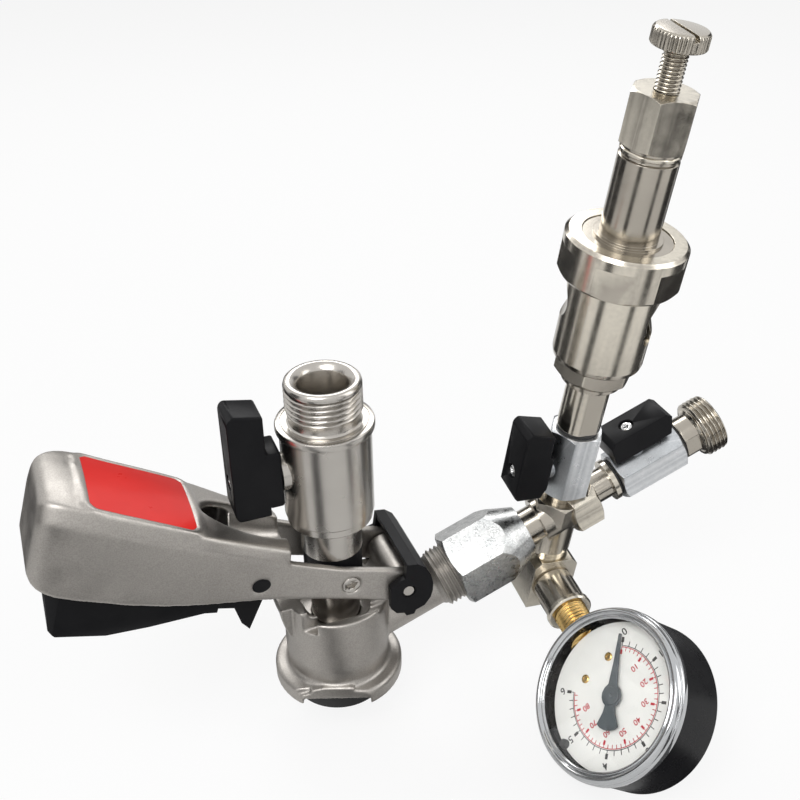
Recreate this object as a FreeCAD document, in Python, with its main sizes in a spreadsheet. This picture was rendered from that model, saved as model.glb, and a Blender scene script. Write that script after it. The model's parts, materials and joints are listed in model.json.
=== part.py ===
# A keg coupler with a lever, a beer ball valve on its probe and a gas manifold on its side port.
# The manifold holds a gauge, a gas ball valve, a bleed ball valve and an adjustable relief valve.
#
# Millimetres. The coupler's axis is Z and points up, and the keg seal's lower face is at Z = 0.
# The lever's handle reaches towards -X, the gas side towards +X, and the gauge towards -Y.
#
# Four more axes carry the other pieces, and each piece is drawn along its own Z before it is placed:
#   gas axis     from the coupler's axis, rising towards +X: port, sleeve, tee, gas valve, inlet
#   riser axis   through the tee, nearly upright: branch block, bleed valve, relief valve
#   gauge axis   square to the riser axis: adapter and the gauge's brass stem
#   dial axis    square to the gauge axis: the gauge's case, dial and pointer
#   lever frame  X along the lever from its hinge, Z towards its top
import FreeCAD, Part
import math
import os

import Sketcher

V = FreeCAD.Vector

doc = FreeCAD.newDocument("filling_head")
sheet = doc.addObject("Spreadsheet::Sheet", "Dims")


class Size:
    """A length or angle: its value now, and the formula that ties it to the sheet."""

    def __init__(self, text, value):
        self.text = text
        self.value = value

    def __add__(self, other):
        other = as_size(other)
        return Size(f"({self.text} + {other.text})", self.value + other.value)

    def __sub__(self, other):
        other = as_size(other)
        return Size(f"({self.text} - {other.text})", self.value - other.value)

    def __mul__(self, factor):
        factor = as_size(factor)
        return Size(f"({self.text} * {factor.text})", self.value * factor.value)

    def __truediv__(self, divisor):
        divisor = as_size(divisor)
        return Size(f"({self.text} / {divisor.text})", self.value / divisor.value)

    def __neg__(self):
        return Size(f"(-1 * {self.text})", -self.value)

    def __radd__(self, other):
        return as_size(other) + self

    def __rsub__(self, other):
        return as_size(other) - self

    def __rmul__(self, factor):
        return self * factor


def as_size(number):
    return number if isinstance(number, Size) else Size(repr(float(number)), float(number))


class Sizes:
    """Every driving size by its name."""


dim = Sizes()

# Every driving size, in millimetres or degrees.
SIZES = {
    # Fits and tilts
    "running_gap": 0.05,
    "free_gap": 0.3,
    "gas_rise_deg": 20.57,
    "riser_lean_x": 0.095,
    "riser_lean_y": 0.119,
    "gauge_turn_deg": 0.8,
    "dial_tilt_deg": 140.5,
    # Coupler body
    "seal_radius": 18.0,
    "seal_bore": 13.2,
    "seal_height": 6.0,
    "seal_stand": 4.5,
    "flange_radius": 24.2,
    "flange_top": 11.5,
    "bell_waist_radius": 18.8,
    "bell_radius": 19.4,
    "bell_swell": 20.0,
    "bell_height": 45.0,
    "mouth_radius": 14.5,
    "mouth_floor": 34.0,
    "land_floor": 26.0,
    "chamber_radius": 13.0,
    "window_sill": 42.3,
    "window_half_width": 13.6,
    "window_corner": 2.0,
    "arm_slot_inside": 10.95,
    "arm_slot_outside": 15.05,
    "arm_slot_clearance": 0.5,
    "arm_slot_end": 22.0,
    "arm_slot_end_floor": 36.3,
    "flange_flat": 20.7,
    "flange_turn_deg": 20.0,
    "lug_gap_half": 12.5,
    "lug_gap_depth": 17.2,
    "lug_gap_top": 8.0,
    "ramp_height": 1.8,
    "ramp_start": 17.0,
    "ramp_low": -16.0,
    "ramp_middle": -4.5,
    "ramp_high": 6.5,
    "notch_low": -18.5,
    "notch_middle": -16.2,
    "notch_high": -9.5,
    "notch_floor": 8.6,
    "notch_start": 18.9,
    "gas_port_height": 20.12,
    "gas_boss_radius": 9.2,
    "gas_boss_reach": 42.0,
    "gas_thread_radius": 11.45,
    "gas_thread_length": 16.0,
    "gas_thread_root": 10.5,
    "gas_undercut": 1.3,
    "gas_bore": 4.0,
    "gas_bore_start": 12.0,
    "lip_valve_pocket": 9.0,
    "lip_valve_depth": 9.0,
    "lug_reach": 22.4,
    "lug_width": 13.0,
    "lug_foot": 32.0,
    "latch_pocket_low": 33.5,
    "latch_pocket_high": 41.5,
    "latch_pocket_depth": 2.6,
    "latch_pocket_width": 8.0,
    # Lever hinge
    "hinge_reach": 22.8,
    "hinge_height": 48.74,
    "hinge_pin_radius": 2.5,
    "hinge_pin_half_length": 17.2,
    "barrel_radius": 6.2,
    "barrel_half_length": 11.0,
    "bracket_width": 14.0,
    "bracket_foot": 27.0,
    "clip_inside": 15.2,
    "clip_wall": 2.4,
    "clip_top": 12.2,
    "clip_front": 7.0,
    "clip_back": 9.4,
    "clip_band_low": -2.1,
    "clip_band_inside": 7.3,
    "clip_foot": 11.0,
    # Probe
    "probe_radius": 9.0,
    "probe_bore": 6.5,
    "probe_tip": 8.2,
    "tip_lip_radius": 8.2,
    "tip_neck_radius": 7.5,
    "tip_seal_radius": 10.8,
    "tip_seal_low": 9.3,
    "tip_seal_high": 12.5,
    "probe_shoulder": 65.0,
    "probe_head_radius": 10.9,
    "probe_top": 77.95,
    "probe_thread_radius": 9.5,
    "probe_thread_length": 5.0,
    "collar_foot": 50.5,
    "collar_radius": 10.6,
    "ring_section": 0.95,
    "ring_low": 28.4,
    "ring_high": 31.6,
    # Beer ball valve
    "beer_valve_radius": 15.75,
    "beer_foot_radius": 15.1,
    "beer_foot_height": 3.2,
    "beer_body_rise": 14.25,
    "beer_passage": 8.0,
    "beer_cavity": 12.3,
    "beer_ball_rise": 22.55,
    "beer_ball_radius": 10.0,
    "beer_ball_bore": 7.5,
    "beer_seat_half": 5.8,
    "beer_seat_margin": 1.5,
    "beer_ring_radius": 17.0,
    "beer_ring_height": 2.99,
    "outlet_thread_radius": 13.22,
    "outlet_length": 15.8,
    "outlet_bore": 8.6,
    "outlet_mouth": 10.6,
    "outlet_undercut": 1.8,
    "beer_stem_radius": 3.5,
    "beer_boss_radius": 6.6,
    "beer_boss_reach": 17.0,
    "beer_handle_step": 22.2,
    "beer_handle_reach": 34.4,
    "beer_handle_low": -13.0,
    "beer_handle_high": 28.5,
    "beer_hub_low": -10.0,
    "beer_hub_high": 11.5,
    "beer_handle_width": 13.0,
    # Lever
    "lever_raise_deg": 18.45,
    "arm_outer": 14.7,
    "arm_inner": 11.3,
    "arm_end_radius": 6.9,
    "arm_under": 6.2,
    "arm_over": 6.6,
    "screw_reach": 21.7,
    "screw_radius": 3.2,
    "screw_tip_radius": 2.5,
    "screw_tip_end": 9.5,
    "screw_head_sink": 0.4,
    "trigger_pin_reach": 56.0,
    "trigger_pin_radius": 2.6,
    "trigger_plug_radius": 4.2,
    "trigger_plug_depth": 1.5,
    "handle_wall": 2.8,
    "label_start": 82.0,
    "label_end": 118.0,
    "label_half_width": 15.6,
    "label_sheet": 0.35,
    "label_frame": 2.6,
    "label_frame_height": 0.8,
    # Lever handle, seven sections from its neck to its end
    "neck_at": 47.0,
    "neck_low": -6.4,
    "neck_half": 14.7,
    "neck_ridge": 9.0,
    "neck_side": 14.7,
    "neck_top": 13.0,
    "neck_crown": 13.2,
    "throat_at": 66.0,
    "throat_low": -6.8,
    "throat_half": 16.3,
    "throat_ridge": 12.9,
    "throat_side": 17.3,
    "throat_top": 17.0,
    "throat_crown": 15.0,
    "grip_at": 84.0,
    "grip_low": -6.9,
    "grip_half": 18.0,
    "grip_ridge": 17.0,
    "grip_side": 19.2,
    "grip_top": 21.3,
    "grip_crown": 17.2,
    "palm_at": 104.0,
    "palm_low": -5.6,
    "palm_half": 18.8,
    "palm_ridge": 21.0,
    "palm_side": 19.8,
    "palm_top": 25.5,
    "palm_crown": 17.8,
    "heel_at": 122.0,
    "heel_low": -3.7,
    "heel_half": 18.5,
    "heel_ridge": 24.0,
    "heel_side": 19.5,
    "heel_top": 29.4,
    "heel_crown": 17.2,
    "end_at": 130.0,
    "end_low": -1.2,
    "end_half": 16.4,
    "end_ridge": 23.2,
    "end_side": 17.2,
    "end_top": 29.2,
    "end_crown": 14.6,
    "cap_at": 133.0,
    "cap_low": 4.0,
    "cap_half": 11.5,
    "cap_ridge": 19.0,
    "cap_side": 12.5,
    "cap_top": 24.6,
    "cap_crown": 10.5,
    "crown_rise": 1.2,
    # Trigger
    "trigger_nose_reach": 45.6,
    "trigger_nose_drop": 6.0,
    "trigger_nose_width": 7.0,
    "trigger_boss_radius": 6.4,
    "trigger_front_width": 20.6,
    "trigger_hook_reach": 53.2,
    "trigger_hook_drop": 22.4,
    "trigger_waist_reach": 63.0,
    "trigger_waist_drop": 13.3,
    "trigger_belly_reach": 104.0,
    "trigger_belly_drop": 21.9,
    "trigger_end_reach": 125.4,
    "trigger_end_drop": 8.0,
    "trigger_grip_front_width": 25.0,
    "trigger_grip_back_width": 29.0,
    "trigger_grip_top": 2.0,
    "trigger_spring_reach": 80.0,
    "trigger_spring_radius": 4.2,
    "trigger_spring_wire": 0.9,
    "trigger_spring_top": 15.8,
    "trigger_grip_start": 67.6,
    # Gas side along the gas axis
    "sleeve_start": 50.5,
    "sleeve_flats": 27.0,
    "sleeve_length": 31.7,
    "sleeve_taper_start": 69.0,
    "sleeve_taper_middle": 73.6,
    "sleeve_end_radius": 9.6,
    "sleeve_washer": 2.0,
    "tee_neck_radius": 7.0,
    "tee_neck_end": 72.0,
    "tee_core_start": 88.5,
    "tee_core_radius": 9.0,
    "riser_at": 97.05,
    "tee_hex_start": 100.5,
    "tee_hex_end": 112.0,
    "tee_hex_flats": 22.0,
    "pipe_radius": 6.25,
    "pipe_bore": 4.0,
    "pipe_depth": 7.0,
    "run_socket": 3.2,
    "gas_valve_start": 123.5,
    "ring_gap": 1.4,
    "inlet_neck_radius": 8.0,
    "inlet_neck_flats": 14.0,
    "inlet_neck_length": 7.3,
    "inlet_thread_length": 8.77,
    # Small ball valves
    "mini_flats": 18.0,
    "mini_length": 28.0,
    "mini_cavity": 7.2,
    "mini_ball_radius": 6.5,
    "mini_ball_bore": 4.0,
    "mini_seat_half": 4.6,
    "mini_seat_margin": 1.5,
    "mini_stem_radius": 2.5,
    "mini_boss_radius": 4.4,
    "mini_boss_reach": 10.3,
    "mini_ball_from_end": 11.0,
    "gas_handle_step": 11.0,
    "gas_handle_reach": 20.6,
    "gas_handle_low": -10.5,
    "gas_handle_high": 16.3,
    "bleed_handle_step": 12.2,
    "bleed_handle_reach": 23.8,
    "bleed_handle_low": -10.2,
    "bleed_handle_high": 20.8,
    "mini_hub_low": -6.5,
    "mini_hub_high": 9.0,
    "mini_handle_width": 13.0,
    "stem_above_boss": 4.4,
    "handle_round": 2.0,
    "handle_gap": 0.3,
    "handle_screw_radius": 1.3,
    "handle_screw_head": 2.7,
    "handle_screw_sink": 1.9,
    "handle_screw_length": 7.0,
    # Riser axis, from the gas axis up and down
    "tee_low_end": -16.0,
    "tee_hex_low": -1.0,
    "tee_socket": 4.0,
    "tee_riser_radius": 8.6,
    "tee_riser_flats": 19.0,
    "tee_riser_top": 8.3,
    "bleed_neck": 4.3,
    "under_nipple_radius": 7.7,
    "block_top": -18.4,
    "block_height": 23.4,
    "block_width": 18.4,
    "block_length": 20.2,
    "block_chamfer": 2.6,
    "block_pocket": 3.6,
    "relief_nipple_radius": 8.0,
    "relief_nipple_flats": 14.5,
    "relief_nipple_length": 20.0,
    "relief_ring_radius": 10.9,
    "relief_ring_height": 2.4,
    "relief_hex_flats": 25.2,
    "relief_hex_height": 7.3,
    "relief_hex_bevel": 3.0,
    "relief_belly_radius": 16.0,
    "scallop_radius": 10.3,
    "scallop_depth": 2.3,
    "scallop_up": 21.2,
    "relief_body_height": 42.5,
    "relief_chamber": 12.0,
    "relief_seat_up": 8.0,
    "relief_seat_bore": 3.0,
    "vent_radius": 4.2,
    "vent_up": 16.2,
    "vent_turn_deg": 129.5,
    # Relief valve's cap, tube and screw
    "cap_radius": 20.75,
    "cap_height": 15.4,
    "cap_up": 32.6,
    "cap_flats": 39.2,
    "cap_rim": 4.4,
    "cap_opening": 15.3,
    "tube_step_gap": 0.4,
    "tube_collar_radius": 11.6,
    "tube_collar_height": 0.5,
    "tube_radius": 9.9,
    "tube_bore": 8.4,
    "tube_flange_radius": 15.9,
    "tube_flange_height": 4.0,
    "tube_top": 150.2,
    "tube_groove_depth": 0.8,
    "nut_washer_radius": 9.6,
    "nut_washer_height": 0.8,
    "nut_flats": 20.0,
    "nut_height": 18.2,
    "nut_spigot": 4.2,
    "screw_thread_radius": 4.0,
    "knob_bottom": 181.7,
    "knob_height": 5.6,
    "knob_radius": 8.8,
    "knob_slot_width": 1.6,
    "knob_slot_depth": 1.8,
    "plate_bottom": 137.0,
    "plate_height": 3.0,
    "plate_radius": 7.9,
    "poppet_radius": 7.0,
    "poppet_height": 3.6,
    "poppet_guide_radius": 3.4,
    "spring_radius": 7.2,
    "spring_wire": 1.3,
    # Gauge
    "adapter_radius": 8.2,
    "adapter_rim_radius": 9.0,
    "adapter_rim_height": 2.2,
    "adapter_end": 26.8,
    "gauge_reach": 69.62,
    "gauge_stem_length": 54.0,
    "gauge_thread_radius": 6.58,
    "gauge_thread_length": 17.0,
    "gauge_square": 13.0,
    "case_radius": 30.4,
    "case_wall": 1.6,
    "case_back": 14.2,
    "case_front": 8.6,
    "bezel_radius": 31.2,
    "bezel_face_radius": 30.1,
    "bezel_front": 13.0,
    "bezel_inner": 26.6,
    "bezel_skirt": 1.0,
    "lens_thickness": 2.0,
    "dial_radius": 27.0,
    "dial_height": 4.0,
    "dial_thickness": 0.6,
    "pointer_height": 6.2,
    "pointer_thickness": 0.8,
    "pointer_hub_radius": 3.2,
    "pointer_length": 20.5,
    "pointer_tail": 11.0,
    "pointer_shaft_radius": 0.8,
    "socket_length": 13.0,
    "socket_width": 11.0,
    "movement_width": 12.0,
    "movement_back": 6.0,
    "bourdon_radius": 19.5,
    "bourdon_section": 1.9,
    "bourdon_sweep_deg": 235.0,
}

for row, (name, value) in enumerate(SIZES.items(), 1):
    sheet.set(f"A{row}", name)
    sheet.set(f"B{row}", str(value))
    sheet.setAlias(f"B{row}", name)
doc.recompute()
for name in SIZES:
    setattr(dim, name, Size(f"Dims.{name}", float(sheet.get(name))))


# Frames: where each axis starts and how it points

def sine(degrees):
    return math.sin(math.radians(degrees.value))


def cosine(degrees):
    return math.cos(math.radians(degrees.value))


def placed(origin, x_axis, y_axis, z_axis):
    return FreeCAD.Placement(origin, FreeCAD.Rotation(x_axis, y_axis, z_axis, "ZXY"))


def shifted(frame, x=0.0, y=0.0, z=0.0):
    """The same frame with its origin moved along its own axes."""
    return frame.multiply(FreeCAD.Placement(V(x, y, z), FreeCAD.Rotation()))


AT_COUPLER = FreeCAD.Placement()

gas_direction = V(cosine(dim.gas_rise_deg), 0, sine(dim.gas_rise_deg))
gas_origin = V(0, 0, dim.gas_port_height.value)
gas_up = V(-gas_direction.z, 0, gas_direction.x)
# The gas axis, its X towards the top side where the valve's stem stands.
AT_GAS = placed(gas_origin, gas_up, gas_direction.cross(gas_up), gas_direction)

riser_origin = gas_origin + gas_direction * dim.riser_at.value
lean_x = dim.riser_lean_x.value
lean_y = dim.riser_lean_y.value
riser_direction = V(lean_x, -lean_y, math.sqrt(1 - lean_x ** 2 - lean_y ** 2))

front = V(0, -1, 0)
square_front = (front - riser_direction * front.dot(riser_direction)).normalize()
gauge_direction = FreeCAD.Rotation(riser_direction, -dim.gauge_turn_deg.value).multVec(square_front)
riser_side = gauge_direction.cross(riser_direction).normalize()
# The riser axis, its X towards -X, where the bleed valve's stem stands.
AT_RISER = placed(riser_origin, riser_side, riser_direction.cross(riser_side), riser_direction)

block_middle = dim.block_top - dim.block_height / 2
gauge_origin = riser_origin + riser_direction * block_middle.value
# The gauge axis, from the middle of the branch block.
AT_GAUGE = placed(gauge_origin, riser_direction.cross(gauge_direction), riser_direction, gauge_direction)

# The branch block stands along the riser axis, its front, at -Y, towards the gauge.
AT_BLOCK = placed(gauge_origin, riser_direction.cross(gauge_direction), gauge_direction * -1, riser_direction)

dial_origin = gauge_origin + gauge_direction * dim.gauge_reach.value
level_x = (V(1, 0, 0) - gauge_direction * gauge_direction.x).normalize()
level_z = level_x.cross(gauge_direction)
level_z = level_z if level_z.z > 0 else level_z * -1
dial_direction = level_x * cosine(dim.dial_tilt_deg) + level_z * sine(dim.dial_tilt_deg)
# The dial axis, its Y back towards the block, so that the gauge's stem is at +Y.
AT_DIAL = placed(dial_origin, (gauge_direction * -1).cross(dial_direction), gauge_direction * -1, dial_direction)

# The gauge's stem, along the gauge axis with its X towards the front of the dial.
AT_STEM = placed(gauge_origin, dial_direction, gauge_direction.cross(dial_direction), gauge_direction)

lever_direction = V(-cosine(dim.lever_raise_deg), 0, sine(dim.lever_raise_deg))
lever_top = V(sine(dim.lever_raise_deg), 0, cosine(dim.lever_raise_deg))
hinge_origin = V(dim.hinge_reach.value, 0, dim.hinge_height.value)
# The lever frame, from its hinge: X along the lever, Z towards its top.
AT_LEVER = placed(hinge_origin, lever_direction, lever_top.cross(lever_direction), lever_top)

Z_TO_X = FreeCAD.Placement(V(), FreeCAD.Rotation(V(0, 1, 0), 90))
Z_TO_Y = FreeCAD.Placement(V(), FreeCAD.Rotation(V(1, 0, 0), -90))
# A sketch that lies across the lever: its x is the lever frame's Y, its y the lever frame's Z.
ACROSS = FreeCAD.Rotation(V(1, 1, 1), 120)
# A sketch that lies along the lever: its x is the lever frame's X, its y the lever frame's Z.
ALONG = FreeCAD.Rotation(V(1, 0, 0), 90)


# Building blocks

def bind(thing, **sizes):
    """Tie properties of an object to the sheet."""
    for name, size in sizes.items():
        thing.setExpression(name, as_size(size).text)


def origin_plane(body, role):
    return next(plane for plane in body.Origin.OriginFeatures if plane.Role == role)


def outline(sketch, points):
    """Draw a closed outline of straight sides through points, each point tied to the sheet."""
    points = [(as_size(x), as_size(y)) for x, y in points]
    corners = [V(x.value, y.value, 0) for x, y in points]
    count = len(points)
    first = sketch.GeometryCount
    sketch.addGeometry([Part.LineSegment(corners[i], corners[(i + 1) % count]) for i in range(count)], False)
    ties = []
    for i in range(count):
        ties.append(Sketcher.Constraint("Coincident", first + i, 2, first + (i + 1) % count, 1))
    formulas = []
    for i, (x, y) in enumerate(points):
        ties.append(Sketcher.Constraint("DistanceX", first + i, 1, x.value))
        formulas.append((len(ties) - 1, x.text))
        ties.append(Sketcher.Constraint("DistanceY", first + i, 1, y.value))
        formulas.append((len(ties) - 1, y.text))
    offset = sketch.ConstraintCount
    sketch.addConstraint(ties)
    for index, text in formulas:
        sketch.setExpression(f"Constraints[{offset + index}]", text)


def flat_sketch(body, name, role, points):
    sketch = body.newObject("Sketcher::SketchObject", name)
    sketch.AttachmentSupport = [(origin_plane(body, role), "")]
    sketch.MapMode = "FlatFace"
    outline(sketch, points)
    return sketch


def revolved(name, points):
    """A piece turned about its Z axis from an outline of (radius, height) points."""
    body = doc.addObject("PartDesign::Body", name)
    sketch = flat_sketch(body, name + "_profile", "XZ_Plane", points)
    turn = body.newObject("PartDesign::Revolution", name + "_turn")
    turn.Profile = sketch
    turn.ReferenceAxis = (sketch, ["V_Axis"])
    turn.Angle = 360
    sketch.Visibility = False
    return body


def padded(name, points, width, role="XZ_Plane"):
    """A piece of one outline, as wide as width and centred on the outline's plane."""
    body = doc.addObject("PartDesign::Body", name)
    sketch = flat_sketch(body, name + "_profile", role, points)
    pad = body.newObject("PartDesign::Pad", name + "_pad")
    pad.Profile = sketch
    pad.Midplane = True
    bind(pad, Length=width)
    return body


def tube(name, outer, bore, low, high):
    return revolved(name, [(bore, low), (outer, low), (outer, high), (bore, high)])


def rod(name, radius, low, high, edge):
    """A turned bar with both ends chamfered."""
    return revolved(name, [
        (0, low), (radius - edge, low), (radius, low + edge), (radius, high - edge), (radius - edge, high), (0, high),
    ])


def ring(name, radius, section, height):
    """A soft ring, its section an octagon."""
    points = []
    for step in range(8):
        angle = math.radians(22.5 + 45 * step)
        points.append((radius + section * math.cos(angle), as_size(height) + section * math.sin(angle)))
    return revolved(name, points)


def cylinder(name, radius, low, high, place=None):
    """A plain round bar along Z, or along the Z axis of a place."""
    radius, low, high = as_size(radius), as_size(low), as_size(high)
    bar = doc.addObject("Part::Cylinder", name)
    bind(bar, Radius=radius, Height=high - low)
    if place is None:
        bar.setExpression("Placement.Base.z", low.text)
    else:
        bar.Placement = shifted(place, z=low.value)
    return bar


def block(name, x_range, y_range, z_range):
    """A plain box between two values on each axis."""
    box = doc.addObject("Part::Box", name)
    ranges = [(as_size(low), as_size(high)) for low, high in (x_range, y_range, z_range)]
    for side, axis, (low, high) in zip(("Length", "Width", "Height"), "xyz", ranges):
        box.setExpression(side, (high - low).text)
        box.setExpression("Placement.Base." + axis, low.text)
    return box


def sphere(name, radius, height):
    ball = doc.addObject("Part::Sphere", name)
    bind(ball, Radius=radius)
    ball.setExpression("Placement.Base.z", as_size(height).text)
    return ball


def fused(name, *pieces):
    joined = doc.addObject("Part::MultiFuse", name)
    joined.Shapes = list(pieces)
    joined.Refine = True
    return joined


def cut(name, base, *tools):
    """A piece with one or more tools taken out of it."""
    taken = tools[0]
    if len(tools) > 1:
        taken = doc.addObject("Part::MultiFuse", name + "_tools")
        taken.Shapes = list(tools)
    result = doc.addObject("Part::Cut", name)
    result.Base = base
    result.Tool = taken
    result.Refine = True
    return result


def common(name, first, second):
    result = doc.addObject("Part::Common", name)
    result.Base = first
    result.Tool = second
    return result


HEX_CORNER = 2 / math.sqrt(3)
CHAMFER_SLOPE = math.tan(math.radians(30))


def hexagon(name, flats, low, high, turn_deg=0.0):
    """A hexagonal bar with both ends chamfered at its corners."""
    flats, low, high = as_size(flats), as_size(low), as_size(high)
    corner = flats * (HEX_CORNER / 2)
    bevel = (corner - flats / 2) * CHAMFER_SLOPE
    bar = doc.addObject("Part::Prism", name + "_bar")
    bar.Polygon = 6
    bind(bar, Circumradius=corner, Height=high - low)
    bar.Placement = FreeCAD.Placement(V(0, 0, low.value), FreeCAD.Rotation(V(0, 0, 1), turn_deg))
    bar.setExpression("Placement.Base.z", low.text)
    rim = corner + 0.02
    blank = revolved(name + "_blank", [
        (0, low), (flats / 2, low), (rim, low + bevel), (rim, high - bevel), (flats / 2, high), (0, high),
    ])
    return common(name, bar, blank)


def flatted(name, radius, flats, low, high):
    """A round bar with two wrench flats."""
    bar = cylinder(name + "_bar", radius, low, high)
    half = as_size(flats) / 2
    reach = as_size(radius) + 1
    slab = block(name + "_slab", (-reach, reach), (-half, half), (low, high))
    return common(name, bar, slab)


pieces = {}


def finish_piece(node, piece, place=AT_COUPLER):
    """Put a finished sub-part in its place and keep it under its node's name."""
    piece.Label = node
    piece.Placement = place
    pieces[node] = piece
    return piece


# Coupler body, its seals and the hinge

def coupler_body():
    rim = 1.0
    shell = revolved("bell", [
        (0, dim.seal_stand),
        (dim.flange_radius - rim, dim.seal_stand),
        (dim.flange_radius, dim.seal_stand + rim),
        (dim.flange_radius, dim.flange_top - rim),
        (dim.flange_radius - rim, dim.flange_top),
        (dim.bell_waist_radius + rim, dim.flange_top + 0.6),
        (dim.bell_waist_radius, dim.flange_top + 2.5),
        (dim.bell_radius, dim.bell_swell),
        (dim.bell_radius, dim.bell_height),
        (0, dim.bell_height),
    ])
    boss = cylinder("gas_boss", dim.gas_boss_radius, 6, dim.gas_boss_reach, AT_GAS)
    neck_end = dim.gas_boss_reach + dim.gas_undercut
    neck = cylinder("gas_undercut_neck", dim.gas_thread_root - 0.5, dim.gas_boss_reach, neck_end, AT_GAS)
    thread_end = dim.gas_boss_reach + dim.gas_thread_length
    # The visible stretch of the thread has its root radius, and the rest, in the sleeve, its full radius.
    root = cylinder("gas_thread_root", dim.gas_thread_root, neck_end, dim.sleeve_start, AT_GAS)
    thread = cylinder("gas_thread", dim.gas_thread_radius, dim.sleeve_start - dim.running_gap, thread_end, AT_GAS)
    barrel = cylinder("hinge_barrel", dim.barrel_radius, -dim.barrel_half_length, dim.barrel_half_length,
                      FreeCAD.Placement(hinge_origin, Z_TO_Y.Rotation))
    bracket = padded("hinge_bracket", [
        (dim.mouth_radius - 1, dim.bracket_foot + 7),
        (dim.bell_radius - 2, dim.bracket_foot),
        (dim.hinge_reach + 6.5, dim.hinge_height - 9.5),
        (dim.hinge_reach + dim.barrel_radius - 0.4, dim.hinge_height),
        (dim.hinge_reach - dim.barrel_radius + 0.4, dim.hinge_height + 1),
        (dim.mouth_radius - 1, dim.bell_height - 1),
    ], dim.bracket_width)
    lug_blank = block("latch_lug_blank", (-dim.lug_reach, -dim.bell_radius + 2),
                      (-dim.lug_width / 2, dim.lug_width / 2), (dim.lug_foot, dim.bell_height))
    # The trigger's nose swings about the hinge, so the lug ends just inside that circle.
    nose_sweep = math.hypot(dim.trigger_nose_reach.value, dim.trigger_nose_drop.value)
    sweep = doc.addObject("Part::Cylinder", "nose_sweep")
    sweep.Radius = nose_sweep - dim.free_gap.value
    sweep.Height = dim.lug_width.value + 4
    sweep.Placement = FreeCAD.Placement(hinge_origin - V(0, dim.lug_width.value / 2 + 2, 0), Z_TO_Y.Rotation)
    lug = common("latch_lug", lug_blank, sweep)
    ramps, lug_gaps = flange_lugs()
    casting = fused("coupler_casting", shell, boss, neck, root, thread, barrel, bracket, lug, *ramps)

    groove_half = dim.ring_section + dim.running_gap
    groove_radius = dim.probe_radius + dim.running_gap * 2 + dim.ring_section * 2
    land = dim.probe_radius + dim.running_gap
    hollow = revolved("hollow", [
        (0, 0),
        (dim.seal_radius + dim.running_gap, 0),
        (dim.seal_radius + dim.running_gap, dim.seal_height),
        (dim.chamber_radius, dim.seal_height),
        (dim.chamber_radius, dim.land_floor),
        (land, dim.land_floor),
        (land, dim.ring_low - groove_half),
        (groove_radius, dim.ring_low - groove_half),
        (groove_radius, dim.ring_low + groove_half),
        (land, dim.ring_low + groove_half),
        (land, dim.ring_high - groove_half),
        (groove_radius, dim.ring_high - groove_half),
        (groove_radius, dim.ring_high + groove_half),
        (land, dim.ring_high + groove_half),
        (land, dim.mouth_floor),
        (dim.mouth_radius, dim.mouth_floor),
        (dim.mouth_radius, dim.bell_height + 10),
        (0, dim.bell_height + 10),
    ])
    gas_way = cylinder("gas_way", dim.gas_bore, dim.gas_bore_start, thread_end + 1, AT_GAS)
    lip_pocket = cylinder("lip_valve_seat", dim.lip_valve_pocket, thread_end - dim.lip_valve_depth,
                          thread_end + 1, AT_GAS)
    pin_hole = cylinder("hinge_pin_hole", dim.hinge_pin_radius + dim.running_gap, -dim.barrel_half_length - 1,
                        dim.barrel_half_length + 1, FreeCAD.Placement(hinge_origin, Z_TO_Y.Rotation))
    corner = dim.window_corner
    window = padded("front_window", [
        (-dim.window_half_width, dim.bell_height + 5),
        (-dim.window_half_width, dim.window_sill + corner),
        (-dim.window_half_width + corner * 0.3, dim.window_sill + corner * 0.3),
        (-dim.window_half_width + corner, dim.window_sill),
        (dim.window_half_width - corner, dim.window_sill),
        (dim.window_half_width - corner * 0.3, dim.window_sill + corner * 0.3),
        (dim.window_half_width, dim.window_sill + corner),
        (dim.window_half_width, dim.bell_height + 5),
    ], dim.bell_radius * 2 + 4)
    # The lever's arms swing down into two slots inside the bell's wall.
    slot_floor = dim.hinge_height - dim.arm_end_radius - dim.arm_slot_clearance
    slot_reach = dim.hinge_reach + dim.barrel_radius + 5
    slot_middle = (dim.arm_slot_inside + dim.arm_slot_outside) / 2
    arm_slots = []
    for word, side in (("front", -1), ("back", 1)):
        slot = padded(f"arm_slot_{word}", [
            (slot_reach, dim.bell_height + 20),
            (slot_reach, slot_floor),
            (dim.hinge_reach, slot_floor),
            (-dim.arm_slot_end, dim.arm_slot_end_floor),
            (-dim.arm_slot_end, dim.bell_height + 20),
        ], dim.arm_slot_outside - dim.arm_slot_inside)
        slot.setExpression("Placement.Base.y", (slot_middle * side).text)
        arm_slots.append(slot)
    pocket = block("latch_pocket", (-dim.lug_reach - 2, -dim.lug_reach + dim.latch_pocket_depth),
                   (-dim.latch_pocket_width / 2, dim.latch_pocket_width / 2),
                   (dim.latch_pocket_low, dim.latch_pocket_high))
    body = cut("coupler_body", casting, hollow, gas_way, lip_pocket, pin_hole, window, pocket, *arm_slots,
               *lug_gaps)
    finish_piece("coupler_body", body)


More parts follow.
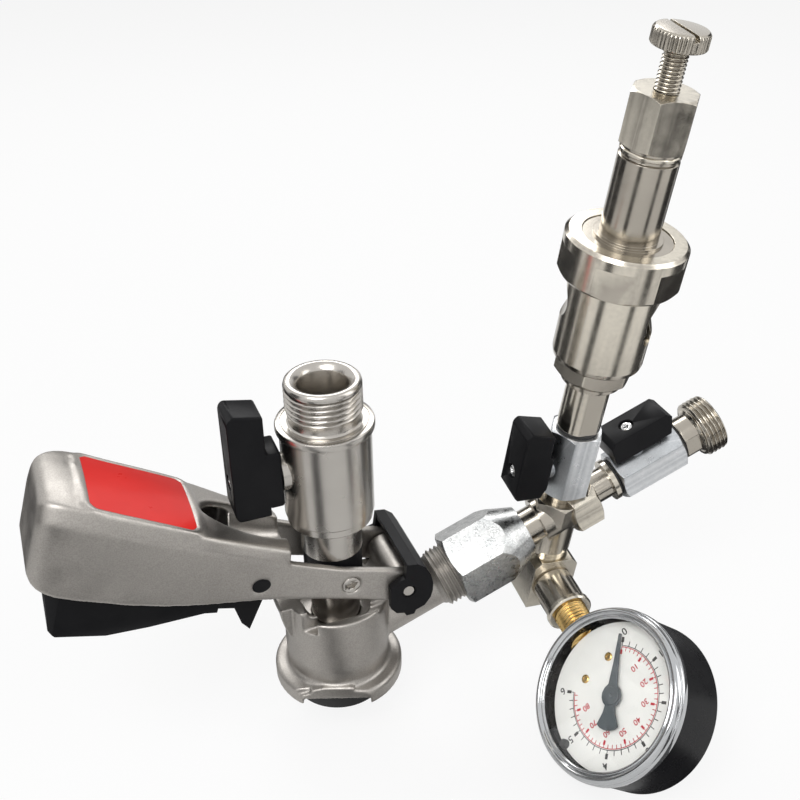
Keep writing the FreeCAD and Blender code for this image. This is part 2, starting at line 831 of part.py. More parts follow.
def flange_lugs():
    """The ramps on top of the flange's two open sides, and what is taken out between its two lugs."""
    ramps = []
    gaps = []
    flange_rim = dim.flange_radius + 2
    for word, turn in (("front", 180), ("back", 0)):
        around = FreeCAD.Placement(V(), FreeCAD.Rotation(V(0, 0, 1), turn - dim.flange_turn_deg.value))
        ramp = padded(f"flange_ramp_{word}", [
            (-dim.ramp_high, dim.flange_top - 1),
            (-dim.ramp_high, dim.flange_top + dim.ramp_height),
            (-dim.ramp_middle, dim.flange_top + dim.ramp_height),
            (-dim.ramp_low, dim.flange_top - 1),
        ], dim.flange_flat - dim.ramp_start)
        middle = (dim.flange_flat + dim.ramp_start) / 2
        ramp.Placement = around.multiply(FreeCAD.Placement(V(0, middle.value, 0), FreeCAD.Rotation()))
        ramps.append(ramp)
        flat = block(f"flange_flat_{word}", (-dim.flange_radius, dim.flange_radius), (dim.flange_flat, flange_rim),
                     (0, dim.flange_top + 5))
        gap = block(f"lug_gap_{word}", (-dim.lug_gap_half, dim.lug_gap_half), (dim.lug_gap_depth, flange_rim),
                    (0, dim.lug_gap_top))
        notch = padded(f"flange_notch_{word}", [
            (-dim.notch_high, dim.flange_top + 1),
            (-dim.notch_high, dim.flange_top - 0.8),
            (-dim.notch_middle, dim.notch_floor),
            (-dim.notch_low, dim.flange_top + 1),
        ], flange_rim - dim.notch_start)
        opening = fused(f"lug_gap_tools_{word}", flat, gap)
        opening.Placement = around
        notch_middle = (flange_rim + dim.notch_start) / 2
        notch.Placement = around.multiply(FreeCAD.Placement(V(0, notch_middle.value, 0), FreeCAD.Rotation()))
        gaps += [opening, notch]
    return ramps, gaps


def bottom_seal():
    edge = 0.6
    ring = revolved("bottom_seal", [
        (dim.seal_bore, 0),
        (dim.seal_radius - edge, 0),
        (dim.seal_radius, edge),
        (dim.seal_radius, dim.seal_height),
        (dim.seal_bore, dim.seal_height),
    ])
    finish_piece("bottom_seal", ring)


def probe_rings():
    """The two O-rings that sit in the land's grooves and seal against the probe."""
    radius = dim.probe_radius + dim.running_gap + dim.ring_section
    rings = [
        ring(name, radius, dim.ring_section, height)
        for name, height in (("probe_ring_low", dim.ring_low), ("probe_ring_high", dim.ring_high))
    ]
    finish_piece("probe_orings", fused("probe_orings", *rings))


def gas_lip_valve():
    """The rubber lip valve that lets gas in and nothing back, seated in the mouth of the gas port."""
    base = dim.gas_boss_reach + dim.gas_thread_length - dim.lip_valve_depth
    rim = dim.lip_valve_pocket - dim.running_gap
    cuff = revolved("lip_valve_cuff", [
        (2.2, base),
        (rim, base),
        (rim, base + 2.2),
        (5.2, base + 2.2),
        (3.4, base + 6.0),
        (2.2, base + 6.0),
    ])
    slit = block("lip_valve_slit", (-0.2, 0.2), (-3, 3), (base + 2.5, base + 8))
    finish_piece("gas_lip_valve", cut("gas_lip_valve", cuff, slit), AT_GAS)


def hinge_pin():
    pin = rod("hinge_pin", dim.hinge_pin_radius, -dim.hinge_pin_half_length, dim.hinge_pin_half_length, 0.5)
    finish_piece("hinge_pin", pin, FreeCAD.Placement(hinge_origin, Z_TO_Y.Rotation))


def hinge_clip():
    """The plastic clip round the fork's end that keeps the hinge pin in: a bowed band and two cheeks."""
    outer = dim.clip_inside + dim.clip_wall
    back = dim.clip_back
    top = dim.clip_top
    bow = [
        (-0.5, top),
        (back * 0.37, top * 0.95),
        (back * 0.7, top * 0.74),
        (back * 0.91, top * 0.43),
        (back, 1.0),
        (back - 0.2, dim.clip_band_low),
    ]
    inside = dim.clip_band_inside
    band = padded("clip_band", bow + [
        (inside - 0.1, dim.clip_band_low),
        (inside, 1.5),
        (inside * 0.9, 4.8),
        (inside * 0.67, 7.5),
        (inside * 0.36, 9.5),
        (-0.5, top - 2.1),
    ], outer * 2)
    cheeks = padded("clip_cheeks", bow + [
        (back - 1.0, -5.0),
        (back - 3.4, -8.2),
        (back - 6.8, -9.4),
        (1.8, -dim.clip_foot),
        (-1.2, -dim.clip_foot),
        (-2.0, -9.4),
        (-dim.clip_front + 2.0, -8.6),
        (-dim.clip_front, -6.0),
        (-dim.clip_front, 3.2),
        (-dim.clip_front + 3.4, 5.6),
        (-1.4, 6.2),
    ], outer * 2)
    room = block("clip_room", (-dim.clip_front - 5, back + 5), (-dim.clip_inside, dim.clip_inside),
                 (-dim.clip_foot - 5, top + 5))
    pin_hole = cylinder("clip_pin_hole", dim.hinge_pin_radius + dim.running_gap, -outer - 1, outer + 1,
                        FreeCAD.Placement(V(), Z_TO_Y.Rotation))
    clip = cut("hinge_clip", fused("clip_blank", band, cut("clip_cheek_pair", cheeks, room)), pin_hole)
    finish_piece("hinge_clip", clip, FreeCAD.Placement(hinge_origin, FreeCAD.Rotation()))


# Probe and the beer ball valve that rides on it

def probe_tube():
    fit = dim.running_gap
    thread_top = dim.probe_top + dim.probe_thread_length
    wall = revolved("probe_tube", [
        (dim.probe_bore, dim.probe_tip),
        (dim.tip_lip_radius, dim.probe_tip),
        (dim.tip_lip_radius, dim.tip_seal_low - fit),
        (dim.tip_neck_radius, dim.tip_seal_low - fit),
        (dim.tip_neck_radius, dim.tip_seal_high),
        (dim.probe_radius, dim.tip_seal_high),
        (dim.probe_radius, dim.probe_shoulder),
        (dim.probe_head_radius, dim.probe_shoulder),
        (dim.probe_head_radius, dim.probe_top),
        (dim.probe_thread_radius, dim.probe_top),
        (dim.probe_thread_radius, thread_top),
        (dim.probe_bore, thread_top),
    ])
    finish_piece("probe_tube", wall)


def probe_tip_seal():
    seal = tube("probe_tip_seal", dim.tip_seal_radius, dim.tip_neck_radius + dim.running_gap,
                dim.tip_seal_low, dim.tip_seal_high)
    finish_piece("probe_tip_seal", seal)


def lever_screw_place():
    """Where the lever's screws stand at rest, in the coupler's frame."""
    point = hinge_origin + lever_direction * dim.screw_reach.value
    return point.x, point.z


def probe_collar():
    """The slide collar: the lever screws' tips run in its two slots and carry the probe."""
    ring = tube("collar_ring", dim.collar_radius, dim.probe_radius + dim.running_gap,
                dim.collar_foot, dim.probe_shoulder)
    screw_x, screw_z = lever_screw_place()
    # The tip goes round an arc while the probe goes straight, so each slot is wider than the tip.
    slot_half_height = dim.screw_tip_radius.value + dim.free_gap.value
    slot_half_width = slot_half_height + 0.9
    slots = []
    for side in (-1, 1):
        slot = doc.addObject("Part::Box", f"collar_slot_{'left' if side < 0 else 'right'}")
        slot.Length = slot_half_width * 2
        slot.Height = slot_half_height * 2
        slot.Width = dim.collar_radius.value - dim.screw_tip_end.value + 1
        start_y = dim.screw_tip_end.value - 0.3 if side > 0 else -dim.collar_radius.value - 0.7
        slot.Placement.Base = V(screw_x - 0.5 - slot_half_width, start_y, screw_z - slot_half_height)
        slots.append(slot)
    finish_piece("probe_collar", cut("probe_collar", ring, *slots))


def ball_cavity(radius, seat_margin):
    """How far the seats' outer ends stand from the ball's centre."""
    return radius + seat_margin


# Heights along the beer valve: each one stands on the one below it
beer_ball_height = dim.probe_top + dim.beer_ball_rise
beer_valve_top = beer_ball_height + dim.beer_body_rise
beer_ring_top = beer_valve_top + dim.beer_ring_height
outlet_top = beer_ring_top + dim.outlet_length


def beer_valve_body():
    fit = dim.running_gap
    socket = dim.probe_thread_radius + fit
    socket_top = dim.probe_top + dim.probe_thread_length + dim.free_gap
    cavity_low = beer_ball_height - ball_cavity(dim.beer_ball_radius, dim.beer_seat_margin)
    edge = 0.7
    shell = revolved("beer_valve_shell", [
        (socket, dim.probe_top),
        (dim.beer_foot_radius - edge, dim.probe_top),
        (dim.beer_foot_radius, dim.probe_top + edge),
        (dim.beer_foot_radius, dim.probe_top + dim.beer_foot_height),
        (dim.beer_valve_radius, dim.probe_top + dim.beer_foot_height + edge),
        (dim.beer_valve_radius, beer_valve_top),
        (dim.beer_cavity, beer_valve_top),
        (dim.beer_cavity, cavity_low),
        (dim.beer_passage, cavity_low),
        (dim.beer_passage, socket_top),
        (socket, socket_top),
    ])
    stem_place = shifted(AT_BEER_VALVE, 0, 0, 0).multiply(Z_TO_X)
    boss = cylinder("beer_stem_boss", dim.beer_boss_radius, dim.beer_cavity + 0.6, dim.beer_boss_reach, stem_place)
    hole = cylinder("beer_stem_hole", dim.beer_stem_radius + fit, 0, dim.beer_boss_reach + 1, stem_place)
    body = cut("beer_valve_body", fused("beer_valve_blank", shell, boss), hole)
    finish_piece("beer_valve_body", body)


def beer_valve_end():
    """The screwed-in end piece: a collar ring and the threaded outlet spigot."""
    plug_low = beer_ball_height + ball_cavity(dim.beer_ball_radius, dim.beer_seat_margin) + dim.running_gap
    rim = 0.8
    spigot = revolved("beer_valve_end", [
        (dim.outlet_bore, plug_low),
        (dim.beer_cavity - dim.running_gap, plug_low),
        (dim.beer_cavity - dim.running_gap, beer_valve_top),
        (dim.beer_ring_radius - rim, beer_valve_top),
        (dim.beer_ring_radius, beer_valve_top + rim),
        (dim.beer_ring_radius, beer_ring_top - rim),
        (dim.beer_ring_radius - rim, beer_ring_top),
        (dim.outlet_thread_radius - 1.3, beer_ring_top),
        (dim.outlet_thread_radius - 1.3, beer_ring_top + dim.outlet_undercut),
        (dim.outlet_thread_radius, beer_ring_top + dim.outlet_undercut + 0.8),
        (dim.outlet_thread_radius, outlet_top - 0.9),
        (dim.outlet_thread_radius - 0.9, outlet_top),
        (dim.outlet_mouth, outlet_top),
        (dim.outlet_bore, outlet_top - 2.4),
    ])
    finish_piece("beer_valve_end", spigot)


# A ball valve's inner pieces and its handle, drawn with the pipe along Z and the stem along X

AT_BEER_VALVE = placed(V(0, 0, beer_ball_height.value), V(-1, 0, 0), V(0, -1, 0), V(0, 0, 1))


def valve_seats(prefix, cavity, bore, radius, seat_half, margin):
    """Two seat rings, hollowed by the ball that turns between them."""
    rings = []
    outer = cavity - dim.running_gap
    far = ball_cavity(radius, margin)
    for name, low, high in (("low", -far, -seat_half), ("high", seat_half, far)):
        rings.append(tube(f"{prefix}_seat_{name}", outer, bore + 0.1, low, high))
    room = sphere(f"{prefix}_seat_room", radius + dim.running_gap, 0)
    return cut(f"{prefix}_seats", fused(f"{prefix}_seat_pair", *rings), room)


def valve_ball(prefix, radius, bore, stem_radius, place):
    """The ball, with its bore along the pipe and a slot on top for the stem's tang."""
    solid = sphere(f"{prefix}_ball_round", radius, 0)
    way = cylinder(f"{prefix}_ball_bore", bore, -radius, radius)
    tang = stem_radius * 0.8
    slot = block(f"{prefix}_ball_slot", (radius * 0.82, radius + 1), (-tang / 2, tang / 2), (-radius, radius))
    finish_piece(f"{prefix}_ball", cut(f"{prefix}_ball", solid, way, slot), place)


def valve_stem(prefix, radius, stem_radius, boss_reach, place):
    """The stem: a tang in the ball's slot, a round shaft and a tapped hole for the handle's screw."""
    shaft_start = radius + dim.running_gap * 2
    shaft_end = boss_reach + dim.stem_above_boss
    shaft = cylinder(f"{prefix}_stem_shaft", stem_radius, shaft_start, shaft_end, Z_TO_X)
    tang = stem_radius * 0.8 - dim.running_gap * 2
    key = block(f"{prefix}_stem_key", (radius * 0.83, shaft_start + 0.5), (-tang / 2, tang / 2),
                (-stem_radius * 0.8, stem_radius * 0.8))
    hole = cylinder(f"{prefix}_stem_hole", dim.handle_screw_radius + dim.running_gap,
                    shaft_end - dim.handle_screw_length, shaft_end + 1, Z_TO_X)
    stem = cut(f"{prefix}_stem", fused(f"{prefix}_stem_blank", shaft, key), hole)
    finish_piece(f"{prefix}_stem", stem, place)
    return shaft_end


def valve_handle(prefix, handle, stem_radius, boss_reach, shaft_end, place):
    """The handle: a hub on the stem and a bar along the pipe, with a sunk screw."""
    inner = boss_reach + dim.handle_gap
    bar = padded(f"{prefix}_handle_bar", [
        (inner, handle["hub_low"]),
        (handle["step"], handle["hub_low"]),
        (handle["step"], handle["low"]),
        (handle["reach"] - dim.handle_round, handle["low"]),
        (handle["reach"], handle["low"] + dim.handle_round),
        (handle["reach"], handle["high"] - dim.handle_round),
        (handle["reach"] - dim.handle_round, handle["high"]),
        (handle["step"], handle["high"] - dim.handle_round),
        (handle["step"], handle["hub_high"]),
        (inner, handle["hub_high"]),
    ], handle["width"])
    socket = cylinder(f"{prefix}_handle_socket", stem_radius + dim.running_gap, inner - 1,
                      shaft_end + dim.running_gap, Z_TO_X)
    screw_way = cylinder(f"{prefix}_handle_screw_way", dim.handle_screw_radius + dim.running_gap,
                         shaft_end, handle["reach"] + 1, Z_TO_X)
    screw_seat = handle["reach"] - dim.handle_screw_sink
    sink = cylinder(f"{prefix}_handle_sink", dim.handle_screw_head + 0.2, screw_seat, handle["reach"] + 1, Z_TO_X)
    finish_piece(f"{prefix}_handle", cut(f"{prefix}_handle", bar, socket, screw_way, sink), place)

    tip = shaft_end - dim.handle_screw_length + 1
    screw = revolved(f"{prefix}_handle_screw", [
        (0, tip),
        (dim.handle_screw_radius, tip),
        (dim.handle_screw_radius, screw_seat),
        (dim.handle_screw_head, screw_seat),
        (dim.handle_screw_head, screw_seat + 0.9),
        (dim.handle_screw_head - 0.9, screw_seat + 1.6),
        (0, screw_seat + 1.6),
    ])
    finish_piece(f"{prefix}_handle_screw", screw, place.multiply(Z_TO_X))


def beer_valve_inside():
    seats = valve_seats("beer", dim.beer_cavity, dim.beer_ball_bore, dim.beer_ball_radius, dim.beer_seat_half,
                        dim.beer_seat_margin)
    finish_piece("beer_seats", seats, AT_BEER_VALVE)
    valve_ball("beer", dim.beer_ball_radius, dim.beer_ball_bore, dim.beer_stem_radius, AT_BEER_VALVE)
    shaft_end = valve_stem("beer", dim.beer_ball_radius, dim.beer_stem_radius, dim.beer_boss_reach, AT_BEER_VALVE)
    handle = {
        "hub_low": dim.beer_hub_low,
        "hub_high": dim.beer_hub_high,
        "step": dim.beer_handle_step,
        "reach": dim.beer_handle_reach,
        "low": dim.beer_handle_low,
        "high": dim.beer_handle_high,
        "width": dim.beer_handle_width,
    }
    valve_handle("beer", handle, dim.beer_stem_radius, dim.beer_boss_reach, shaft_end, AT_BEER_VALVE)


def mini_valve(prefix, start, place):
    """A small hexagonal ball valve from start along a frame's Z, its stem along the frame's X."""
    fit = dim.running_gap
    at_ball = shifted(place, z=(start + dim.mini_ball_from_end).value)
    near = -dim.mini_ball_from_end
    far = dim.mini_length - dim.mini_ball_from_end
    bar = hexagon(f"{prefix}_valve_hex", dim.mini_flats, near, far)
    boss = cylinder(f"{prefix}_stem_boss", dim.mini_boss_radius, dim.mini_cavity + 0.6, dim.mini_boss_reach, Z_TO_X)
    way = cylinder(f"{prefix}_valve_way", dim.mini_cavity, near - 1, far + 1)
    hole = cylinder(f"{prefix}_stem_way", dim.mini_stem_radius + fit, 0, dim.mini_boss_reach + 1, Z_TO_X)
    body = cut(f"{prefix}_valve_body", fused(f"{prefix}_valve_blank", bar, boss), way, hole)
    finish_piece(f"{prefix}_valve_body", body, at_ball)
    seats = valve_seats(prefix, dim.mini_cavity, dim.mini_ball_bore, dim.mini_ball_radius, dim.mini_seat_half,
                        dim.mini_seat_margin)
    seats.Placement = at_ball
    small_seats.append(seats)
    valve_ball(prefix, dim.mini_ball_radius, dim.mini_ball_bore, dim.mini_stem_radius, at_ball)
    shaft_end = valve_stem(prefix, dim.mini_ball_radius, dim.mini_stem_radius, dim.mini_boss_reach, at_ball)
    handle = {
        "hub_low": dim.mini_hub_low,
        "hub_high": dim.mini_hub_high,
        "step": getattr(dim, prefix + "_handle_step"),
        "reach": getattr(dim, prefix + "_handle_reach"),
        "low": getattr(dim, prefix + "_handle_low"),
        "high": getattr(dim, prefix + "_handle_high"),
        "width": dim.mini_handle_width,
    }
    valve_handle(prefix, handle, dim.mini_stem_radius, dim.mini_boss_reach, shaft_end, at_ball)


def seat_depth_in():
    """How far a nipple's end goes into a small valve at its inlet, up to the seat."""
    return dim.mini_ball_from_end - ball_cavity(dim.mini_ball_radius, dim.mini_seat_margin) - dim.running_gap


def seat_depth_out():
    """The same at the valve's outlet, which is longer."""
    far = dim.mini_length - dim.mini_ball_from_end
    return far - ball_cavity(dim.mini_ball_radius, dim.mini_seat_margin) - dim.running_gap


# Lever, its label, screws and trigger

def across_sketch(name, at, low, half, ridge, side, top, crown_half, crown_rise):
    """One section across the lever: straight sides, a ridge and a crowned top."""
    sketch = doc.addObject("Sketcher::SketchObject", name)
    sketch.Placement = FreeCAD.Placement(V(at.value, 0, 0), ACROSS)
    sketch.setExpression("Placement.Base.x", at.text)
    corners = [(-half, low), (half, low), (side, ridge), (crown_half, top), (-crown_half, top), (-side, ridge)]
    points = [V(x.value, y.value, 0) for x, y in corners]
    crown = V(0, top.value + crown_rise.value, 0)
    edges = [
        Part.LineSegment(points[0], points[1]),
        Part.LineSegment(points[1], points[2]),
        Part.LineSegment(points[2], points[3]),
        Part.Arc(points[3], crown, points[4]),
        Part.LineSegment(points[4], points[5]),
        Part.LineSegment(points[5], points[0]),
    ]
    sketch.addGeometry(edges, False)
    # An arc's first end lies clockwise of its last, so the crown's arc is joined end for end.
    starts = [(0, 1), (1, 1), (2, 1), (3, 1), (4, 1), (5, 1)]
    ends = [(0, 2), (1, 2), (2, 2), (3, 2), (4, 2), (5, 2)]
    ties = [Sketcher.Constraint("Coincident", *ends[i], *starts[(i + 1) % 6]) for i in range(6)]
    formulas = []
    for i, (x, y) in enumerate(corners):
        ties.append(Sketcher.Constraint("DistanceX", *starts[i], x.value))
        formulas.append((len(ties) - 1, x.text))
        ties.append(Sketcher.Constraint("DistanceY", *starts[i], y.value))
        formulas.append((len(ties) - 1, y.text))
    chord = crown_half
    rise = crown_rise
    arc_radius = (chord * chord + rise * rise) / (rise * 2)
    ties.append(Sketcher.Constraint("Radius", 3, arc_radius.value))
    formulas.append((len(ties) - 1, arc_radius.text))
    sketch.addConstraint(ties)
    for index, text in formulas:
        sketch.setExpression(f"Constraints[{index}]", text)
    return sketch


SECTIONS = ("neck", "throat", "grip", "palm", "heel", "end", "cap")


def handle_sections(prefix, names, wall, floor, lift):
    """The lever's sections, drawn in by a wall, with their lower edge moved to a floor if one is given."""
    sketches = []
    for name in names:
        low = getattr(dim, name + "_low")
        sketches.append(across_sketch(
            f"{prefix}_{name}",
            getattr(dim, name + "_at"),
            low if floor is None else floor,
            getattr(dim, name + "_half") - wall,
            getattr(dim, name + "_ridge") - wall * 0.6 + lift,
            getattr(dim, name + "_side") - wall,
            getattr(dim, name + "_top") - wall + lift,
            getattr(dim, name + "_crown") - wall,
            dim.crown_rise,
        ))
    return sketches


def lofted(name, sections, ruled=False):
    loft = doc.addObject("Part::Loft", name)
    loft.Sections = sections
    loft.Solid = True
    loft.Ruled = ruled
    return loft


def rounded_plan(name, start, end, half_width, corner):
    """A block over the label's place, its corners cut, tall enough to pass through the top."""
    body = doc.addObject("PartDesign::Body", name)
    sketch = flat_sketch(body, name + "_profile", "XY_Plane", [
        (start + corner, -half_width),
        (end - corner, -half_width),
        (end, -half_width + corner),
        (end, half_width - corner),
        (end - corner, half_width),
        (start + corner, half_width),
        (start, half_width - corner),
        (start, -half_width + corner),
    ])
    pad = body.newObject("PartDesign::Pad", name + "_pad")
    pad.Profile = sketch
    bind(pad, Length=dim.heel_top * 2)
    return body


def lever_handle():
    outer = lofted("handle_form", handle_sections("handle_section", SECTIONS, as_size(0), None, as_size(0)))
    hollow_names = SECTIONS[1:6]
    inner = lofted("handle_hollow", handle_sections("hollow_section", hollow_names, dim.handle_wall,
                                                    as_size(-20), as_size(0)))
    arms = []
    plate_half = (dim.arm_outer - dim.arm_inner) / 2
    plate_middle = (dim.arm_outer + dim.arm_inner) / 2
    for side in (-1, 1):
        word = "left" if side < 0 else "right"
        plate = padded(f"arm_{word}", [
            (0, -dim.arm_end_radius),
            (dim.screw_reach, -dim.arm_under),
            (dim.throat_at, -dim.arm_under - 0.2),
            (dim.throat_at, dim.arm_over + 2),
            (dim.neck_at, dim.arm_over + 2),
            (dim.screw_reach + 6, dim.arm_over),
            (0, dim.arm_end_radius),
        ], plate_half * 2)
        plate.Placement = FreeCAD.Placement(V(0, side * plate_middle.value, 0), FreeCAD.Rotation())
        plate.setExpression("Placement.Base.y", (plate_middle * side).text)
        eye = cylinder(f"arm_eye_{word}", dim.arm_end_radius, plate_middle * side - plate_half,
                       plate_middle * side + plate_half, Z_TO_Y)
        arms += [plate, eye]
    frame_height = dim.label_frame_height
    lifted = lofted("frame_form", handle_sections("frame_section", SECTIONS, as_size(0), None, frame_height))
    frame_plan = cut(
        "label_frame_plan",
        rounded_plan("frame_outer", dim.label_start - dim.label_frame, dim.label_end + dim.label_frame,
                     dim.label_half_width + dim.label_frame * 0.6, as_size(3)),
        rounded_plan("frame_inner", dim.label_start, dim.label_end, dim.label_half_width, as_size(2)),
    )
    frame = common("label_frame", lifted, frame_plan)
    casting = fused("lever_casting", outer, frame, *arms)

    saddle = doc.addObject("Part::Ellipsoid", "saddle")
    saddle.Radius1 = 16
    saddle.Radius2 = 25
    saddle.Radius3 = 10.5
    saddle.Placement.Base = V(dim.neck_at.value + 8, 0, dim.throat_top.value + 9)
    # The trigger's front stands between the arms, so the neck is open there from below.
    slot_half = dim.trigger_front_width / 2 + dim.free_gap
    front_room = block("trigger_room", (dim.neck_at - 10, dim.throat_at + 12), (-slot_half, slot_half),
                       (-30, dim.trigger_boss_radius + 1))
    fit = dim.running_gap
    pin_hole = cylinder("lever_hinge_hole", dim.hinge_pin_radius + fit, -dim.arm_outer - 1, dim.arm_outer + 1, Z_TO_Y)
    holes = [pin_hole]
    at_screw = FreeCAD.Placement(V(dim.screw_reach.value, 0, 0), Z_TO_Y.Rotation)
    at_pin = FreeCAD.Placement(V(dim.trigger_pin_reach.value, 0, 0), Z_TO_Y.Rotation)
    holes.append(cylinder("lever_screw_hole", dim.screw_radius + fit, -dim.arm_outer - 1, dim.arm_outer + 1, at_screw))
    holes.append(cylinder("trigger_pin_hole", dim.trigger_pin_radius + fit, -dim.grip_side, dim.grip_side, at_pin))
    casting = cut("lever_handle", casting, inner, saddle, front_room, *holes)
    finish_piece("lever_handle", casting, AT_LEVER)


def lever_label():
    """The bare label sheet, which follows the crowned top inside its frame."""
    under = lofted("label_under", handle_sections("label_low", SECTIONS, as_size(0), None, dim.running_gap))
    over = lofted("label_over", handle_sections("label_high", SECTIONS, as_size(0), None,
                                                dim.label_sheet + dim.running_gap))
    margin = 0.3
    plan = rounded_plan("label_plan", dim.label_start + margin, dim.label_end - margin,
                        dim.label_half_width - margin, as_size(2))
    sheet_piece = cut("lever_label", common("label_slab", over, plan), under)
    finish_piece("lever_label", sheet_piece, AT_LEVER)


def lever_screws():
    """The two socket screws whose tips carry the probe's collar."""
    screws = []
    for word, turn in (("left", Z_TO_Y.Rotation), ("right", Z_TO_Y.Rotation.inverted())):
        screw = revolved(f"lever_screw_{word}", [
            (0, dim.screw_tip_end),
            (dim.screw_tip_radius, dim.screw_tip_end),
            (dim.screw_tip_radius, dim.arm_inner),
            (dim.screw_radius, dim.arm_inner),
            (dim.screw_radius, dim.arm_outer - dim.screw_head_sink),
            (0, dim.arm_outer - dim.screw_head_sink),
        ])
        screw.Placement = FreeCAD.Placement(V(dim.screw_reach.value, 0, 0), turn)
        screws.append(screw)
    finish_piece("lever_screws", fused("lever_screws", *screws), AT_LEVER)


def trigger_pin():
    pin = rod("trigger_pin", dim.trigger_pin_radius, -dim.arm_outer, dim.arm_outer, 0.3)
    at_pin = FreeCAD.Placement(V(dim.trigger_pin_reach.value, 0, 0), Z_TO_Y.Rotation)
    finish_piece("trigger_pin", pin, AT_LEVER.multiply(at_pin))


def trigger():
    """The plastic trigger: a pivot boss and latch nose between the arms, and the grip under the handle."""
    pivot = dim.trigger_pin_reach
    boss = cylinder("trigger_boss", dim.trigger_boss_radius, -dim.trigger_front_width / 2,
                    dim.trigger_front_width / 2, FreeCAD.Placement(V(pivot.value, 0, 0), Z_TO_Y.Rotation))
    front = padded("trigger_front", [
        (pivot - 3, dim.trigger_boss_radius - 1),
        (pivot - 6, -1),
        (dim.trigger_hook_reach - 1.8, -8),
        (dim.trigger_hook_reach, -dim.trigger_hook_drop),
        (dim.trigger_hook_reach + 3.6, -dim.trigger_hook_drop + 2.6),
        (dim.trigger_waist_reach - 2, -dim.trigger_waist_drop),
        (dim.trigger_waist_reach + 10, -dim.trigger_waist_drop - 0.4),
        (dim.trigger_waist_reach + 10, -dim.trigger_grip_top),
        (pivot + 4, dim.trigger_boss_radius - 2),
    ], dim.trigger_front_width)
    nose = padded("trigger_nose", [
        (pivot, 0),
        (dim.trigger_nose_reach + 0.6, -dim.trigger_nose_drop + 2.4),
        (dim.trigger_nose_reach, -dim.trigger_nose_drop),
        (pivot, -dim.trigger_nose_drop - 2),
    ], dim.trigger_nose_width)
    grip_side_view = padded("trigger_grip_side", [
        (dim.trigger_grip_start, -dim.trigger_waist_drop - 0.2),
        (dim.trigger_waist_reach + 9, -dim.trigger_waist_drop - 0.4),
        (dim.trigger_belly_reach - 14, -dim.trigger_belly_drop + 3.1),
        (dim.trigger_belly_reach, -dim.trigger_belly_drop),
        (dim.trigger_end_reach - 5, -dim.trigger_belly_drop),
        (dim.trigger_end_reach - 2.5, -dim.trigger_belly_drop + 1.8),
        (dim.trigger_end_reach, -dim.trigger_end_drop),
        (dim.trigger_end_reach - 0.5, -dim.trigger_grip_top),
        (dim.trigger_grip_start, -dim.trigger_grip_top),
    ], dim.trigger_grip_back_width + 10)
    plan = padded("trigger_grip_plan", [
        (dim.trigger_grip_start, -dim.trigger_grip_front_width / 2),
        (dim.trigger_end_reach - 4, -dim.trigger_grip_back_width / 2),
        (dim.trigger_end_reach + 1, -dim.trigger_grip_back_width / 2 + 4),
        (dim.trigger_end_reach + 1, dim.trigger_grip_back_width / 2 - 4),
        (dim.trigger_end_reach - 4, dim.trigger_grip_back_width / 2),
        (dim.trigger_grip_start, dim.trigger_grip_front_width / 2),
    ], 80, "XY_Plane")
    grip = common("trigger_grip", grip_side_view, plan)
    hole = cylinder("trigger_bore", dim.trigger_pin_radius + dim.running_gap, -dim.trigger_front_width,
                    dim.trigger_front_width, FreeCAD.Placement(V(pivot.value, 0, 0), Z_TO_Y.Rotation))
    finish_piece("trigger", cut("trigger", fused("trigger_blank", boss, front, nose, grip), hole), AT_LEVER)


def trigger_spring():
    """The coil spring between the trigger and the handle, as the tube that it fills."""
    coil = tube("trigger_spring", dim.trigger_spring_radius, dim.trigger_spring_radius - dim.trigger_spring_wire,
                -dim.trigger_grip_top + dim.running_gap, dim.trigger_spring_top)
    finish_piece("trigger_spring", coil, shifted(AT_LEVER, x=dim.trigger_spring_reach.value))


# Gas side: sleeve, tee, gas valve and inlet

def gas_sleeve():
    fit = dim.running_gap
    thread_end = dim.gas_boss_reach + dim.gas_thread_length
    end = dim.sleeve_start + dim.sleeve_length
    bar = hexagon("sleeve_hex", dim.sleeve_flats, dim.sleeve_start, end)
    corner = dim.sleeve_flats * (HEX_CORNER / 2) + 0.02
    turned = revolved("sleeve_turned", [
        (0, dim.sleeve_start),
        (corner, dim.sleeve_start),
        (corner, dim.sleeve_taper_start),
        (dim.sleeve_flats / 2, dim.sleeve_taper_middle),
        (dim.sleeve_end_radius, end),
        (0, end),
    ])
    way = revolved("sleeve_way", [
        (0, dim.sleeve_start - 1),
        (dim.gas_thread_radius + fit, dim.sleeve_start - 1),
        (dim.gas_thread_radius + fit, thread_end + dim.sleeve_washer),
        (dim.pipe_bore, thread_end + dim.sleeve_washer),
        (dim.pipe_bore, dim.tee_neck_end - dim.free_gap),
        (dim.tee_neck_radius + fit, dim.tee_neck_end - dim.free_gap),
        (dim.tee_neck_radius + fit, end + 1),
        (0, end + 1),
    ])
    finish_piece("gas_sleeve", cut("gas_sleeve", common("sleeve_blank", bar, turned), way), AT_GAS)


def sleeve_washer():
    start = dim.gas_boss_reach + dim.gas_thread_length
    ring = tube("sleeve_washer", dim.gas_thread_radius, dim.lip_valve_pocket - 3, start, start + dim.sleeve_washer)
    finish_piece("sleeve_washer", ring, AT_GAS)


